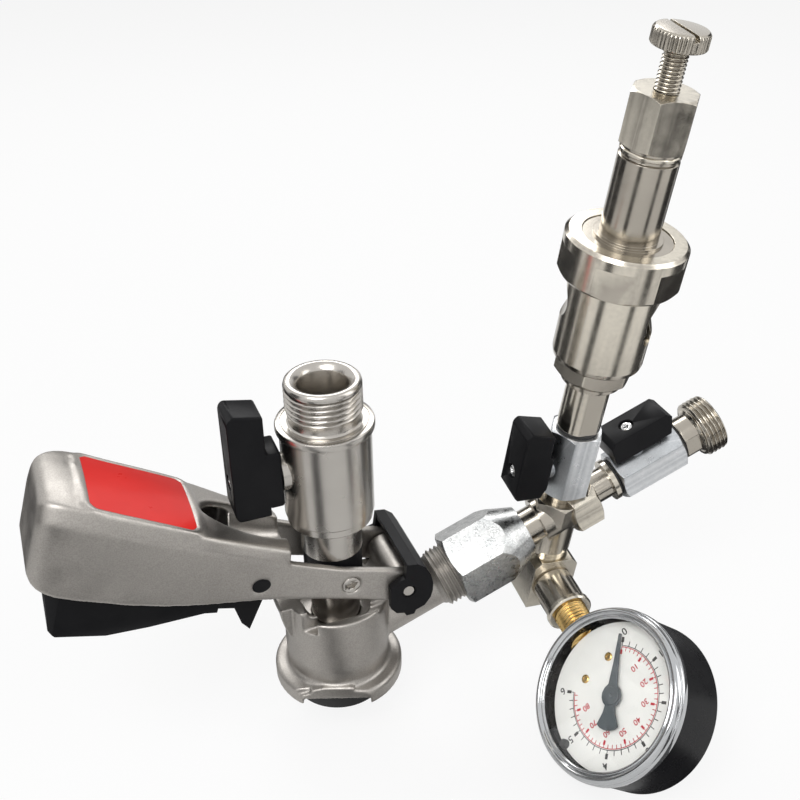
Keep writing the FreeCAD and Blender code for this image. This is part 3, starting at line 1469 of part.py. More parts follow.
def tee_body():
    """The oblique tee: its run lies on the gas axis and its branch on the riser axis."""
    at_riser = AT_GAS.inverse().multiply(AT_RISER)
    neck = cylinder("tee_neck", dim.tee_neck_radius, dim.tee_neck_end, dim.tee_core_start + 2)
    core = cylinder("tee_core", dim.tee_core_radius, dim.tee_core_start, dim.tee_hex_start + 1)
    nut = hexagon("tee_hex", dim.tee_hex_flats, dim.tee_hex_start, dim.tee_hex_end, 0)
    branch = cylinder("tee_branch", dim.tee_riser_radius, dim.tee_low_end, dim.tee_riser_top - 1, at_riser)
    branch_hex = hexagon("tee_branch_hex", dim.tee_riser_flats, dim.tee_hex_low, dim.tee_riser_top, 15)
    branch_hex.Placement = at_riser
    blank = fused("tee_blank", neck, core, nut, branch, branch_hex)
    fit = dim.running_gap
    run_way = cylinder("tee_run_way", dim.pipe_bore, dim.tee_neck_end - 1, dim.tee_hex_end + 1)
    run_socket = cylinder("tee_run_socket", dim.pipe_radius + fit, dim.tee_hex_end - dim.run_socket,
                          dim.tee_hex_end + 1)
    branch_way = cylinder("tee_branch_way", dim.pipe_bore, dim.tee_low_end - 1, dim.tee_riser_top + 1, at_riser)
    top_socket = cylinder("tee_top_socket", dim.pipe_radius + fit, dim.tee_riser_top - dim.tee_socket,
                          dim.tee_riser_top + 6, at_riser)
    low_socket = cylinder("tee_low_socket", dim.pipe_radius + fit, dim.tee_low_end - 1,
                          dim.tee_low_end + dim.tee_socket, at_riser)
    # The bleed valve's foot stands in a spot face on the run's nut.
    spot_face = cylinder("tee_spot_face", dim.mini_flats * (HEX_CORNER / 2) + dim.free_gap,
                         bleed_start() - dim.free_gap, bleed_start() + 20, at_riser)
    tee = cut("tee_body", blank, run_way, run_socket, branch_way, top_socket, low_socket, spot_face)
    finish_piece("tee_body", tee, AT_GAS)


def gas_nipple():
    """The straight nipple from the tee to the gas valve."""
    ring_start = dim.gas_valve_start - dim.ring_gap
    pipe_start = dim.tee_hex_end - dim.run_socket + dim.free_gap
    plug_end = dim.gas_valve_start + seat_depth_in()
    pipe = revolved("gas_nipple", [
        (dim.pipe_bore, pipe_start),
        (dim.pipe_radius, pipe_start),
        (dim.pipe_radius, ring_start - 2.0),
        (dim.mini_cavity + 1.2, ring_start - 2.0),
        (dim.mini_cavity + 1.2, ring_start),
        (dim.pipe_radius, ring_start),
        (dim.pipe_radius, dim.gas_valve_start),
        (dim.mini_cavity - dim.running_gap, dim.gas_valve_start),
        (dim.mini_cavity - dim.running_gap, plug_end),
        (dim.pipe_bore, plug_end),
    ])
    finish_piece("gas_nipple", pipe, AT_GAS)


def valve_rings():
    """The three black O-rings at the small valves' ends."""
    section = dim.ring_gap / 2 - 0.02
    radius = dim.pipe_radius + section + dim.running_gap
    gas_end = dim.gas_valve_start + dim.mini_length
    bleed_end = bleed_start() + dim.mini_length
    places = [
        ("gas_ring_in", AT_GAS, dim.gas_valve_start - dim.ring_gap / 2),
        ("gas_ring_out", AT_GAS, gas_end + dim.ring_gap / 2),
        ("bleed_ring", AT_RISER, bleed_end + dim.ring_gap / 2),
    ]
    rings = []
    for name, frame, height in places:
        soft_ring = ring(name, radius, section, height)
        soft_ring.Placement = frame
        rings.append(soft_ring)
    finish_piece("valve_orings", fused("valve_orings", *rings))


def gas_inlet():
    """The screwed inlet for the gas hose."""
    valve_end = dim.gas_valve_start + dim.mini_length
    neck_start = valve_end + dim.ring_gap
    thread_start = neck_start + dim.inlet_neck_length
    inlet_end = thread_start + dim.inlet_thread_length
    stub = revolved("inlet_stub", [
        (0, valve_end - seat_depth_out()),
        (dim.mini_cavity - dim.running_gap, valve_end - seat_depth_out()),
        (dim.mini_cavity - dim.running_gap, valve_end),
        (dim.pipe_radius, valve_end),
        (dim.pipe_radius, neck_start + 0.2),
        (0, neck_start + 0.2),
    ])
    neck = flatted("inlet_neck", dim.inlet_neck_radius, dim.inlet_neck_flats, neck_start, thread_start)
    thread = revolved("inlet_thread", [
        (0, thread_start - 0.2),
        (dim.gas_thread_radius - 0.8, thread_start - 0.2),
        (dim.gas_thread_radius, thread_start + 0.6),
        (dim.gas_thread_radius, inlet_end - 0.8),
        (dim.gas_thread_radius - 0.8, inlet_end),
        (0, inlet_end),
    ])
    way = revolved("inlet_way", [
        (0, valve_end - seat_depth_out() - 1),
        (dim.pipe_bore, valve_end - seat_depth_out() - 1),
        (dim.pipe_bore, inlet_end - 3.5),
        (7.0, inlet_end),
        (7.0, inlet_end + 1),
        (0, inlet_end + 1),
    ])
    finish_piece("gas_inlet", cut("gas_inlet", fused("inlet_blank", stub, neck, thread), way), AT_GAS)


# Riser: block under the tee, bleed valve and relief valve above it

def bleed_start():
    return dim.tee_riser_top + dim.bleed_neck


def under_nipple():
    """The short nipple between the tee and the branch block."""
    fit = dim.free_gap
    spigot_top = dim.tee_low_end + dim.tee_socket - fit
    pipe = revolved("under_nipple", [
        (dim.pipe_bore, dim.block_top - dim.block_pocket + fit),
        (dim.pipe_radius, dim.block_top - dim.block_pocket + fit),
        (dim.pipe_radius, dim.block_top),
        (dim.under_nipple_radius, dim.block_top),
        (dim.under_nipple_radius, dim.tee_low_end),
        (dim.pipe_radius, dim.tee_low_end),
        (dim.pipe_radius, spigot_top),
        (dim.pipe_bore, spigot_top),
    ])
    finish_piece("under_nipple", pipe, AT_RISER)


def branch_block():
    """The square block that turns the gas from the riser to the gauge."""
    half_height = dim.block_height / 2
    bevel = dim.block_chamfer
    half_width = dim.block_width / 2
    blank = padded("block_blank", [
        (-half_width, -half_height),
        (half_width, -half_height),
        (half_width, half_height - bevel),
        (half_width - bevel, half_height),
        (-half_width + bevel, half_height),
        (-half_width, half_height - bevel),
    ], dim.block_length)
    fit = dim.running_gap
    top_socket = cylinder("block_top_socket", dim.pipe_radius + fit, half_height - dim.block_pocket, half_height + 1)
    top_way = cylinder("block_top_way", dim.pipe_bore, 0, half_height)
    front_face = dim.block_length / 2
    to_front = FreeCAD.Placement(V(), FreeCAD.Rotation(V(1, 0, 0), 90))
    front_way = cylinder("block_front_way", dim.pipe_bore, -dim.pipe_bore, front_face, to_front)
    front_socket = cylinder("block_front_socket", dim.gauge_thread_radius + fit, front_face - dim.block_pocket,
                            front_face + 1, to_front)
    body = cut("branch_block", blank, top_socket, top_way, front_way, front_socket)
    finish_piece("branch_block", body, AT_BLOCK)


def bleed_stub():
    """The short nipple from the tee into the bleed valve."""
    start = bleed_start()
    low = dim.tee_riser_top - dim.tee_socket + dim.free_gap
    top = start + seat_depth_in()
    pipe = revolved("bleed_stub", [
        (dim.pipe_bore, low),
        (dim.pipe_radius, low),
        (dim.pipe_radius, start),
        (dim.mini_cavity - dim.running_gap, start),
        (dim.mini_cavity - dim.running_gap, top),
        (dim.pipe_bore, top),
    ])
    finish_piece("bleed_stub", pipe, AT_RISER)


def relief_nipple():
    valve_end = bleed_start() + dim.mini_length
    low = valve_end + dim.ring_gap
    top = low + dim.relief_nipple_length
    stub = revolved("relief_nipple_stub", [
        (0, valve_end - seat_depth_out()),
        (dim.mini_cavity - dim.running_gap, valve_end - seat_depth_out()),
        (dim.mini_cavity - dim.running_gap, valve_end),
        (dim.pipe_radius, valve_end),
        (dim.pipe_radius, low + 0.2),
        (0, low + 0.2),
    ])
    body = flatted("relief_nipple_body", dim.relief_nipple_radius, dim.relief_nipple_flats, low, top)
    spigot = cylinder("relief_nipple_spigot", dim.pipe_radius, top - 0.2, top + dim.pipe_depth - dim.free_gap)
    way = cylinder("relief_nipple_way", dim.pipe_bore, valve_end - seat_depth_out() - 1, top + dim.pipe_depth)
    finish_piece("relief_nipple", cut("relief_nipple", fused("relief_nipple_blank", stub, body, spigot), way), AT_RISER)


def relief_start():
    return bleed_start() + dim.mini_length + dim.ring_gap + dim.relief_nipple_length


def relief_shoulder():
    """Where the relief body's round belly starts, above its hexagon."""
    return relief_start() + dim.relief_ring_height + dim.relief_hex_height


# The scallops stand a little further round than the vent.
SCALLOP_TURN = 15


def relief_body():
    start = relief_start()
    hex_low = start + dim.relief_ring_height
    belly = relief_shoulder()
    top = belly + dim.relief_body_height
    step = 0.9
    rings = revolved("relief_rings", [
        (0, start),
        (dim.relief_ring_radius - step, start),
        (dim.relief_ring_radius - step, start + step),
        (dim.relief_ring_radius, start + step),
        (dim.relief_ring_radius, hex_low + 0.2),
        (0, hex_low + 0.2),
    ])
    corner = dim.relief_hex_flats * (HEX_CORNER / 2)
    nut = common("relief_hex", hexagon("relief_hex_bar", dim.relief_hex_flats, hex_low, belly + 0.8, -14),
                 revolved("relief_hex_form", [
                     (0, hex_low),
                     (dim.relief_ring_radius + 0.5, hex_low),
                     (corner, hex_low + dim.relief_hex_bevel),
                     (corner, belly + 0.4),
                     (0, belly + 0.4),
                 ]))
    form = revolved("relief_form", [
        (0, belly),
        (dim.relief_belly_radius - 1.6, belly),
        (dim.relief_belly_radius - 0.4, belly + 1.0),
        (dim.relief_belly_radius, belly + 2.6),
        (dim.relief_belly_radius, top),
        (0, top),
    ])
    seat = belly + dim.relief_seat_up
    way = revolved("relief_way", [
        (0, start - 1),
        (dim.pipe_radius + dim.running_gap, start - 1),
        (dim.pipe_radius + dim.running_gap, start + dim.pipe_depth),
        (dim.relief_seat_bore, start + dim.pipe_depth + 1),
        (dim.relief_seat_bore, seat),
        (dim.relief_seat_bore + 1, seat),
        (dim.relief_seat_bore + 1, seat - 1),
        (dim.relief_chamber, seat - 1),
        (dim.relief_chamber, top + 1),
        (0, top + 1),
    ])
    # The vent and two milled scallops stand at the body's sides.
    turned = FreeCAD.Rotation(V(0, 0, 1), dim.vent_turn_deg.value)
    vent_place = FreeCAD.Placement(V(0, 0, (belly + dim.vent_up).value), turned.multiply(Z_TO_X.Rotation))
    vent = cylinder("relief_vent", dim.vent_radius, 0, dim.relief_belly_radius + 2, vent_place)
    scallops = []
    middle = dim.relief_belly_radius + dim.scallop_radius - dim.scallop_depth
    across = FreeCAD.Rotation(V(0, 0, 1), dim.vent_turn_deg.value + SCALLOP_TURN)
    for word, side in (("left", -1), ("right", 1)):
        centre = across.multVec(V(middle.value * side, 0, 0)) + V(0, 0, (belly + dim.scallop_up).value)
        scallops.append(cylinder(f"relief_scallop_{word}", dim.scallop_radius, -dim.relief_belly_radius,
                                 dim.relief_belly_radius,
                                 FreeCAD.Placement(centre, across.multiply(Z_TO_Y.Rotation))))
    blank = fused("relief_blank", rings, nut, form)
    finish_piece("relief_body", cut("relief_body", blank, way, vent, *scallops), AT_RISER)


def relief_cap():
    """The union nut that clamps the tube's flange on the relief body."""
    low = relief_shoulder() + dim.cap_up
    top = low + dim.cap_height
    edge = 1.2
    seat = relief_shoulder() + dim.relief_body_height
    turned = revolved("relief_cap_ring", [
        (dim.relief_belly_radius + dim.running_gap, low),
        (dim.cap_radius - edge, low),
        (dim.cap_radius, low + edge),
        (dim.cap_radius, top - edge),
        (dim.cap_radius - edge, top),
        (dim.cap_opening, top),
        (dim.cap_opening, seat + dim.tube_flange_height),
        (dim.relief_belly_radius + dim.running_gap, seat + dim.tube_flange_height),
    ])
    # Six wrench flats, milled from below up to a round rim.
    flats = hexagon("cap_flats_bar", dim.cap_flats, low - 2, top, 23.5)
    rim = tube("cap_rim_room", dim.cap_radius + 1, 0, top - dim.cap_rim, top + 1)
    finish_piece("relief_cap", common("relief_cap", turned, fused("cap_blank", flats, rim)), AT_RISER)


def relief_tube():
    seat = relief_shoulder() + dim.relief_body_height
    cap_top = relief_shoulder() + dim.cap_up + dim.cap_height
    step = dim.cap_opening - dim.running_gap * 5
    groove = dim.tube_radius - dim.tube_groove_depth
    wall = revolved("relief_tube", [
        (dim.tube_bore, seat),
        (dim.tube_flange_radius, seat),
        (dim.tube_flange_radius, seat + dim.tube_flange_height),
        (step, seat + dim.tube_flange_height),
        (step, cap_top - dim.tube_step_gap),
        (dim.tube_collar_radius, cap_top - dim.tube_step_gap),
        (dim.tube_collar_radius, cap_top + dim.tube_collar_height),
        (dim.tube_radius, cap_top + dim.tube_collar_height),
        (dim.tube_radius, dim.tube_top - 3.0),
        (groove, dim.tube_top - 2.6),
        (groove, dim.tube_top - 1.8),
        (dim.tube_radius, dim.tube_top - 1.4),
        (dim.tube_radius, dim.tube_top - 0.5),
        (dim.tube_radius - 0.5, dim.tube_top),
        (dim.tube_bore, dim.tube_top),
    ])
    finish_piece("relief_tube", wall, AT_RISER)


def relief_lock_nut():
    top = dim.tube_top + dim.nut_height
    hex_low = dim.tube_top + dim.nut_washer_height
    nut = hexagon("lock_nut_hex", dim.nut_flats, hex_low, top, 22)
    washer = cylinder("lock_nut_washer", dim.nut_washer_radius, dim.tube_top, hex_low + 0.2)
    spigot = cylinder("lock_nut_spigot", dim.tube_bore - dim.running_gap, dim.tube_top - dim.nut_spigot,
                      dim.tube_top + 0.2)
    way = cylinder("lock_nut_way", dim.screw_thread_radius + dim.running_gap, dim.tube_top - dim.nut_spigot - 1, top + 1)
    finish_piece("relief_lock_nut", cut("relief_lock_nut", fused("lock_nut_blank", nut, washer, spigot), way), AT_RISER)


def plate_top():
    return dim.plate_bottom + dim.plate_height


def adjusting_screw():
    """The adjusting screw with its slotted knob. It pushes the spring plate down."""
    edge = 0.6
    knob_top = dim.knob_bottom + dim.knob_height
    form = revolved("screw_form", [
        (0, plate_top() + dim.running_gap),
        (dim.screw_thread_radius - 1, plate_top() + dim.running_gap),
        (dim.screw_thread_radius, plate_top() + 1.2),
        (dim.screw_thread_radius, dim.knob_bottom),
        (dim.knob_radius - edge, dim.knob_bottom),
        (dim.knob_radius, dim.knob_bottom + edge),
        (dim.knob_radius, knob_top - edge),
        (dim.knob_radius - edge, knob_top),
        (0, knob_top),
    ])
    half = dim.knob_slot_width / 2
    slot = block("knob_slot", (-dim.knob_radius - 1, dim.knob_radius + 1), (-half, half),
                 (knob_top - dim.knob_slot_depth, knob_top + 1))
    finish_piece("adjusting_screw", cut("adjusting_screw", form, slot), AT_RISER)


def relief_inside():
    """The spring plate, the spring and the poppet that it holds on its seat."""
    plate = revolved("spring_plate", [
        (0, dim.plate_bottom - 3),
        (dim.poppet_guide_radius, dim.plate_bottom - 3),
        (dim.poppet_guide_radius, dim.plate_bottom),
        (dim.plate_radius, dim.plate_bottom),
        (dim.plate_radius, plate_top()),
        (0, plate_top()),
    ])
    finish_piece("spring_plate", plate, AT_RISER)
    seat = relief_shoulder() + dim.relief_seat_up
    disc_top = seat + dim.poppet_height
    poppet = revolved("relief_poppet", [
        (0, seat),
        (dim.poppet_radius, seat),
        (dim.poppet_radius + 1.2, seat + 1),
        (dim.poppet_radius + 1.2, disc_top),
        (dim.poppet_guide_radius, disc_top),
        (dim.poppet_guide_radius, disc_top + 5),
        (0, disc_top + 5),
    ])
    finish_piece("relief_poppet", poppet, AT_RISER)
    coil = tube("relief_spring", dim.spring_radius, dim.spring_radius - dim.spring_wire,
                disc_top + dim.running_gap, dim.plate_bottom - dim.running_gap)
    finish_piece("relief_spring", coil, AT_RISER)


# Gauge: adapter, stem, case, dial and pointer

def gauge_adapter():
    face = dim.block_length / 2
    low = face - dim.block_pocket + dim.free_gap
    edge = 0.6
    thread_start = dim.gauge_reach - dim.gauge_stem_length
    sleeve = revolved("gauge_adapter", [
        (dim.pipe_bore, low),
        (dim.gauge_thread_radius, low),
        (dim.gauge_thread_radius, face),
        (dim.adapter_radius - edge, face),
        (dim.adapter_radius, face + edge),
        (dim.adapter_radius, dim.adapter_end - dim.adapter_rim_height - edge),
        (dim.adapter_rim_radius, dim.adapter_end - dim.adapter_rim_height),
        (dim.adapter_rim_radius, dim.adapter_end - edge),
        (dim.adapter_rim_radius - edge, dim.adapter_end),
        (dim.gauge_thread_radius + dim.running_gap, dim.adapter_end),
        (dim.gauge_thread_radius + dim.running_gap, thread_start - dim.running_gap),
        (dim.pipe_bore, thread_start - dim.running_gap),
    ])
    finish_piece("gauge_adapter", sleeve, AT_GAUGE)


def socket_end():
    """Where the brass socket inside the case ends, along the gauge axis."""
    return dim.gauge_reach - dim.case_radius + dim.case_wall + dim.socket_length


def gauge_stem():
    """The brass stem: thread, square and the socket inside the case that holds the spring tube."""
    start = dim.gauge_reach - dim.gauge_stem_length
    thread_end = start + dim.gauge_thread_length
    wall_outside = dim.gauge_reach - dim.case_radius
    half = dim.gauge_square / 2
    thread = revolved("stem_thread", [
        (0, start),
        (dim.gauge_thread_radius - 0.9, start),
        (dim.gauge_thread_radius, start + 0.9),
        (dim.gauge_thread_radius, thread_end),
        (0, thread_end),
    ])
    square = block("stem_square", (-half, half), (-half, half), (thread_end, wall_outside - dim.free_gap))
    waist_end = dim.gauge_reach - dim.dial_radius - 0.6
    waist = cylinder("stem_waist", dim.gauge_thread_radius, wall_outside - dim.free_gap - 1, waist_end)
    socket_half = dim.socket_width / 2
    socket = block("stem_socket", (-socket_half * 1.7, dim.dial_height - dim.free_gap), (-socket_half, socket_half),
                   (waist_end - 0.3, socket_end()))
    way = cylinder("stem_way", 2.0, start - 1, socket_end() - 3)
    stem = cut("gauge_stem", fused("stem_blank", thread, square, waist, socket), way)
    finish_piece("gauge_stem", stem, AT_STEM)


def gauge_case():
    back = -dim.case_back
    edge = 2.2
    cup = revolved("case_cup", [
        (0, back),
        (dim.case_radius - edge, back),
        (dim.case_radius, back + edge),
        (dim.case_radius, dim.case_front),
        (dim.case_radius - dim.case_wall, dim.case_front),
        (dim.case_radius - dim.case_wall, back + edge),
        (dim.case_radius - edge - dim.case_wall * 0.6, back + dim.case_wall),
        (0, back + dim.case_wall),
    ])
    hole = cylinder("case_hole", dim.gauge_thread_radius + dim.running_gap, 0, dim.case_radius + 1,
                    FreeCAD.Placement(V(), Z_TO_Y.Rotation))
    finish_piece("gauge_case", cut("gauge_case", cup, hole), AT_DIAL)


def lens_back():
    return dim.bezel_front - 1.2 - dim.lens_thickness


def gauge_bezel():
    fit = dim.running_gap
    skirt = dim.case_front - dim.bezel_skirt
    ring = revolved("gauge_bezel", [
        (dim.case_radius + fit, skirt),
        (dim.bezel_radius, skirt),
        (dim.bezel_radius, dim.case_front + 1.5),
        (dim.bezel_face_radius, dim.bezel_front),
        (dim.bezel_inner + 1.0, dim.bezel_front),
        (dim.bezel_inner, dim.bezel_front - 1.2),
        (dim.case_radius - dim.case_wall, dim.bezel_front - 1.2),
        (dim.case_radius - dim.case_wall, dim.case_front + fit),
        (dim.case_radius + fit, dim.case_front + fit),
    ])
    finish_piece("gauge_bezel", ring, AT_DIAL)


def gauge_lens():
    radius = dim.case_radius - dim.case_wall - dim.running_gap
    finish_piece("gauge_lens", rod("gauge_lens", radius, lens_back(), lens_back() + dim.lens_thickness, 0.3), AT_DIAL)


def gauge_dial():
    disc = tube("gauge_dial", dim.dial_radius, dim.pointer_shaft_radius + 0.7, dim.dial_height,
                dim.dial_height + dim.dial_thickness)
    finish_piece("gauge_dial", disc, AT_DIAL)


def gauge_movement():
    """The movement between the brass socket and the dial, with the bush of the pointer's shaft."""
    half = dim.movement_width / 2
    socket_y = dim.gauge_reach - socket_end()
    frame = block("movement_frame", (-half, half), (-half, socket_y), (-dim.movement_back, dim.dial_height))
    hole = cylinder("movement_bush", dim.pointer_shaft_radius + dim.running_gap, -dim.movement_back - 1,
                    dim.dial_height + 1)
    finish_piece("gauge_movement", cut("gauge_movement", frame, hole), AT_DIAL)


def bourdon_tube():
    """The C-shaped spring tube, from the brass socket round behind the dial."""
    arc = doc.addObject("Part::Torus", "bourdon_tube")
    bind(arc, Radius1=dim.bourdon_radius, Radius2=dim.bourdon_section, Angle3=dim.bourdon_sweep_deg)
    inner = dim.bourdon_radius.value - dim.bourdon_section.value
    half_socket = math.degrees(math.asin((dim.socket_width.value / 2 + dim.running_gap.value) / inner))
    start = FreeCAD.Rotation(V(0, 0, 1), 90 + half_socket)
    finish_piece("bourdon_tube", arc, AT_DIAL.multiply(FreeCAD.Placement(V(0, 0, -dim.case_back.value / 2), start)))


# The dial's zero stands 45 degrees clockwise of the stem, seen from the front.
POINTER_AT_REST = -45


def gauge_pointer():
    """The pointer with its counterweight and its shaft."""
    low = dim.pointer_height
    high = low + dim.pointer_thickness
    hand = doc.addObject("PartDesign::Body", "pointer_hand")
    sketch = flat_sketch(hand, "pointer_profile", "XY_Plane", [
        (-1.5, 0),
        (-2.9, -dim.pointer_tail),
        (2.9, -dim.pointer_tail),
        (1.5, 0),
        (0.45, dim.pointer_length),
        (-0.45, dim.pointer_length),
    ])
    pad = hand.newObject("PartDesign::Pad", "pointer_pad")
    pad.Profile = sketch
    bind(pad, Length=dim.pointer_thickness)
    hand.setExpression("Placement.Base.z", low.text)
    hub = cylinder("pointer_hub", dim.pointer_hub_radius, low, high + 0.6)
    shaft = cylinder("pointer_shaft", dim.pointer_shaft_radius, -dim.movement_back + 0.5, low + 0.2)
    turn = FreeCAD.Placement(V(), FreeCAD.Rotation(V(0, 0, 1), POINTER_AT_REST))
    finish_piece("gauge_pointer", fused("gauge_pointer", hand, hub, shaft), AT_DIAL.multiply(turn))


for make in (
    coupler_body, bottom_seal, probe_rings, gas_lip_valve, hinge_pin, hinge_clip,
    probe_tube, probe_tip_seal, probe_collar, beer_valve_body, beer_valve_end, beer_valve_inside,
    lever_handle, lever_label, lever_screws, trigger_pin, trigger, trigger_spring,
    gas_sleeve, sleeve_washer, tee_body, gas_nipple, gas_inlet,
    under_nipple, branch_block, bleed_stub, relief_nipple, relief_body, relief_cap, relief_tube,
    relief_lock_nut, adjusting_screw, relief_inside, valve_rings,
    gauge_adapter, gauge_stem, gauge_case, gauge_bezel, gauge_lens, gauge_dial, gauge_movement,
    bourdon_tube, gauge_pointer,
):
    make()
small_seats = []
mini_valve("gas", dim.gas_valve_start, AT_GAS)
mini_valve("bleed", bleed_start(), AT_RISER)
finish_piece("small_valve_seats", fused("small_valve_seats", *small_seats))
doc.recompute()


# Check every object and every sub-part before anything is written

faults = [f"{thing.Name} {thing.State}" for thing in doc.Objects if {"Invalid", "Error"} & set(thing.State)]
for node, piece in pieces.items():
    if piece.Shape.isNull() or not piece.Shape.isValid() or not piece.Shape.Solids:
        faults.append(f"{node} has no valid solid")
if faults:
    raise RuntimeError("; ".join(faults))

os.makedirs("parts", exist_ok=True)
for node, piece in pieces.items():
    piece.Shape.exportStep(f"parts/{node}.step")
    box = piece.Shape.BoundBox
    print(f"{node:20s} solids {len(piece.Shape.Solids)} volume {piece.Shape.Volume:9.1f} "
          f"x {box.XMin:7.1f} {box.XMax:7.1f} y {box.YMin:7.1f} {box.YMax:7.1f} z {box.ZMin:7.1f} {box.ZMax:7.1f}")
print(len(pieces), "sub-parts")
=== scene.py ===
# %% [markdown]
# # A keg coupler with a gas manifold
#
# The part is a lever-operated coupler with a ball valve on its probe. A manifold on its side port carries
# a gauge, two small ball valves and an adjustable relief valve. The CAD model gives every piece its size
# and place. This notebook adds what CAD leaves out: finishes, threads, rounded edges and the dial.
#
# We load the CAD model first and note its box, because nothing we add may make the part larger.

# %% Load the CAD model
import json
import math

import bmesh
import bpy
from mathutils import Matrix, Vector


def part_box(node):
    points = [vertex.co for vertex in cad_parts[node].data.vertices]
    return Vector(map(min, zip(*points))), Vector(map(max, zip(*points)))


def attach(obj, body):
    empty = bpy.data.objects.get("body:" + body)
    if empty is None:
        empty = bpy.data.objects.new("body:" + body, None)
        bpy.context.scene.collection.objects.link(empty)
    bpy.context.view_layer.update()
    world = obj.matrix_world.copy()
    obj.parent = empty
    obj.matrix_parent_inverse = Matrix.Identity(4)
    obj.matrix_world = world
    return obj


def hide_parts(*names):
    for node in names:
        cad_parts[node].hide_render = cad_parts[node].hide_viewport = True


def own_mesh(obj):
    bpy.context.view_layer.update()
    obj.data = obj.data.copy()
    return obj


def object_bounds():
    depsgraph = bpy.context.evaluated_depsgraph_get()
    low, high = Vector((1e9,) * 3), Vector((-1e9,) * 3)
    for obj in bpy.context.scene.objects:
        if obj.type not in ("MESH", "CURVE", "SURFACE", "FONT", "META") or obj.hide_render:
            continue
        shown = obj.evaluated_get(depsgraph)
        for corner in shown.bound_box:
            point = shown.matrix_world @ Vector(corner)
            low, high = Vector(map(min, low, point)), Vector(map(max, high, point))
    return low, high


MM = 0.001

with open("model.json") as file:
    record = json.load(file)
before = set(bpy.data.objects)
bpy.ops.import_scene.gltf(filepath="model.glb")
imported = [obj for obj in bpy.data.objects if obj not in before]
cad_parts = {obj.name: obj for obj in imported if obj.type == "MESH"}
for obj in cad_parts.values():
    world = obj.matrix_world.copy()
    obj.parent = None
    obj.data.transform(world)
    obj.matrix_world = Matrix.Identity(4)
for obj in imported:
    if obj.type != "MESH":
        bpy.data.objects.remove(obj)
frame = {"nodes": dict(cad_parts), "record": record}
nodes = frame["nodes"]
record = frame["record"]
body_of = {node: body for body, members in record["behaviour"]["bodies"].items() for node in members}
slot_of = {entry["node"]: entry["material_slot"] for entry in record["subparts"]}
joint_of = {joint["name"]: joint for joint in record["behaviour"]["joints"]}
cad_low, cad_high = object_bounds()
scene = bpy.context.scene


def size_in_mm(low, high):
    return [round((b - a) / MM, 1) for a, b in zip(low, high)]


print("loaded", len(nodes), "nodes, box in mm", size_in_mm(cad_low, cad_high))

# %% [markdown]
# ## The camera
#
# The picture was taken from a little above and slightly to the left of the front. We could drag a camera
# about until it looks right. Numbers are better here, because they stay the same in every run: the heading
# and the pitch set the way the camera looks, and the roll tilts it a little.

# %% Place the camera
HEADING, PITCH, ROLL = (math.radians(angle) for angle in (20.21, 31.17, -1.04))
ORIGIN_IN_VIEW = Vector((-23.44, 106.91, 429.52)) * MM  # right of, below and ahead of the camera
SENSOR_WIDTH = 36
FOCAL_PIXELS, PICTURE_PIXELS = 1100, 800

ahead = Vector((math.sin(HEADING) * math.cos(PITCH), math.cos(HEADING) * math.cos(PITCH), -math.sin(PITCH)))
level_right = Vector((math.cos(HEADING), -math.sin(HEADING), 0))
level_down = ahead.cross(level_right)
right = level_right * math.cos(ROLL) - level_down * math.sin(ROLL)
down = level_right * math.sin(ROLL) + level_down * math.cos(ROLL)
camera_place = -(right * ORIGIN_IN_VIEW.x + down * ORIGIN_IN_VIEW.y + ahead * ORIGIN_IN_VIEW.z)

camera = bpy.data.objects.new("Camera", bpy.data.cameras.new("Camera"))
scene.collection.objects.link(camera)
camera.data.sensor_width = SENSOR_WIDTH
camera.data.lens = SENSOR_WIDTH * FOCAL_PIXELS / PICTURE_PIXELS
camera.matrix_world = Matrix.Translation(camera_place) @ Matrix((right, -down, -ahead)).transposed().to_4x4()
scene.camera = camera
print("camera at", [round(value / MM) for value in camera_place], "mm")

# %% [markdown]
# ## The floor
#
# The part stands on a white sweep. A white floor alone would need strong lamps to look white, and they would
# bleach the part. So the floor is matte, and where the camera sees it, a plain white glow makes up most of
# its colour. The matte share keeps the part's soft shadow.
#
# Three helpers come first, because every material below needs them: one starts a material, one adds a node
# with its settings, and one links sockets.

# %% Lay the floor
FLOOR_GAP = 0.4
FLOOR_HEIGHT = cad_low.z - FLOOR_GAP * MM
FLOOR_REACH = 3.0
FLOOR_SHADE = 0.86
FLOOR_GLOW_SHARE = 0.86


def new_material(name):
    """An empty node material, its node tree and its output node."""
    material = bpy.data.materials.new(name)
    material.use_nodes = True
    tree = material.node_tree
    tree.nodes.clear()
    return material, tree, add_node(tree, "OutputMaterial")


def add_node(tree, kind, values=(), **settings):
    """A shader node with its settings, and with a value on each input socket that the dictionary names."""
    node = tree.nodes.new("ShaderNode" + kind)
    for name, value in settings.items():
        setattr(node, name, value)
    for socket, value in dict(values).items():
        node.inputs[socket].default_value = value
    return node


def link(tree, *pairs):
    """Links in a node tree, each from an output socket to an input socket."""
    for output, into in pairs:
        tree.links.new(output, into)


def floor_material():
    """Matte white, and mostly a plain glow where the camera sees it, also through glass."""
    material, tree, output = new_material("pale floor")
    matte = add_node(tree, "BsdfDiffuse", {"Color": (FLOOR_SHADE, FLOOR_SHADE, FLOOR_SHADE, 1)})
    glow = add_node(tree, "Emission", {"Strength": 1.0})
    rays = add_node(tree, "LightPath")
    seen = add_node(tree, "Math", operation="MAXIMUM")
    share = add_node(tree, "Math", {1: FLOOR_GLOW_SHARE}, operation="MULTIPLY")
    mix = add_node(tree, "MixShader")
    link(tree, (rays.outputs["Is Camera Ray"], seen.inputs[0]),
         (rays.outputs["Is Transmission Ray"], seen.inputs[1]),
         (seen.outputs[0], share.inputs[0]),
         (share.outputs[0], mix.inputs[0]),
         (matte.outputs[0], mix.inputs[1]),
         (glow.outputs[0], mix.inputs[2]),
         (mix.outputs[0], output.inputs["Surface"]))
    return material


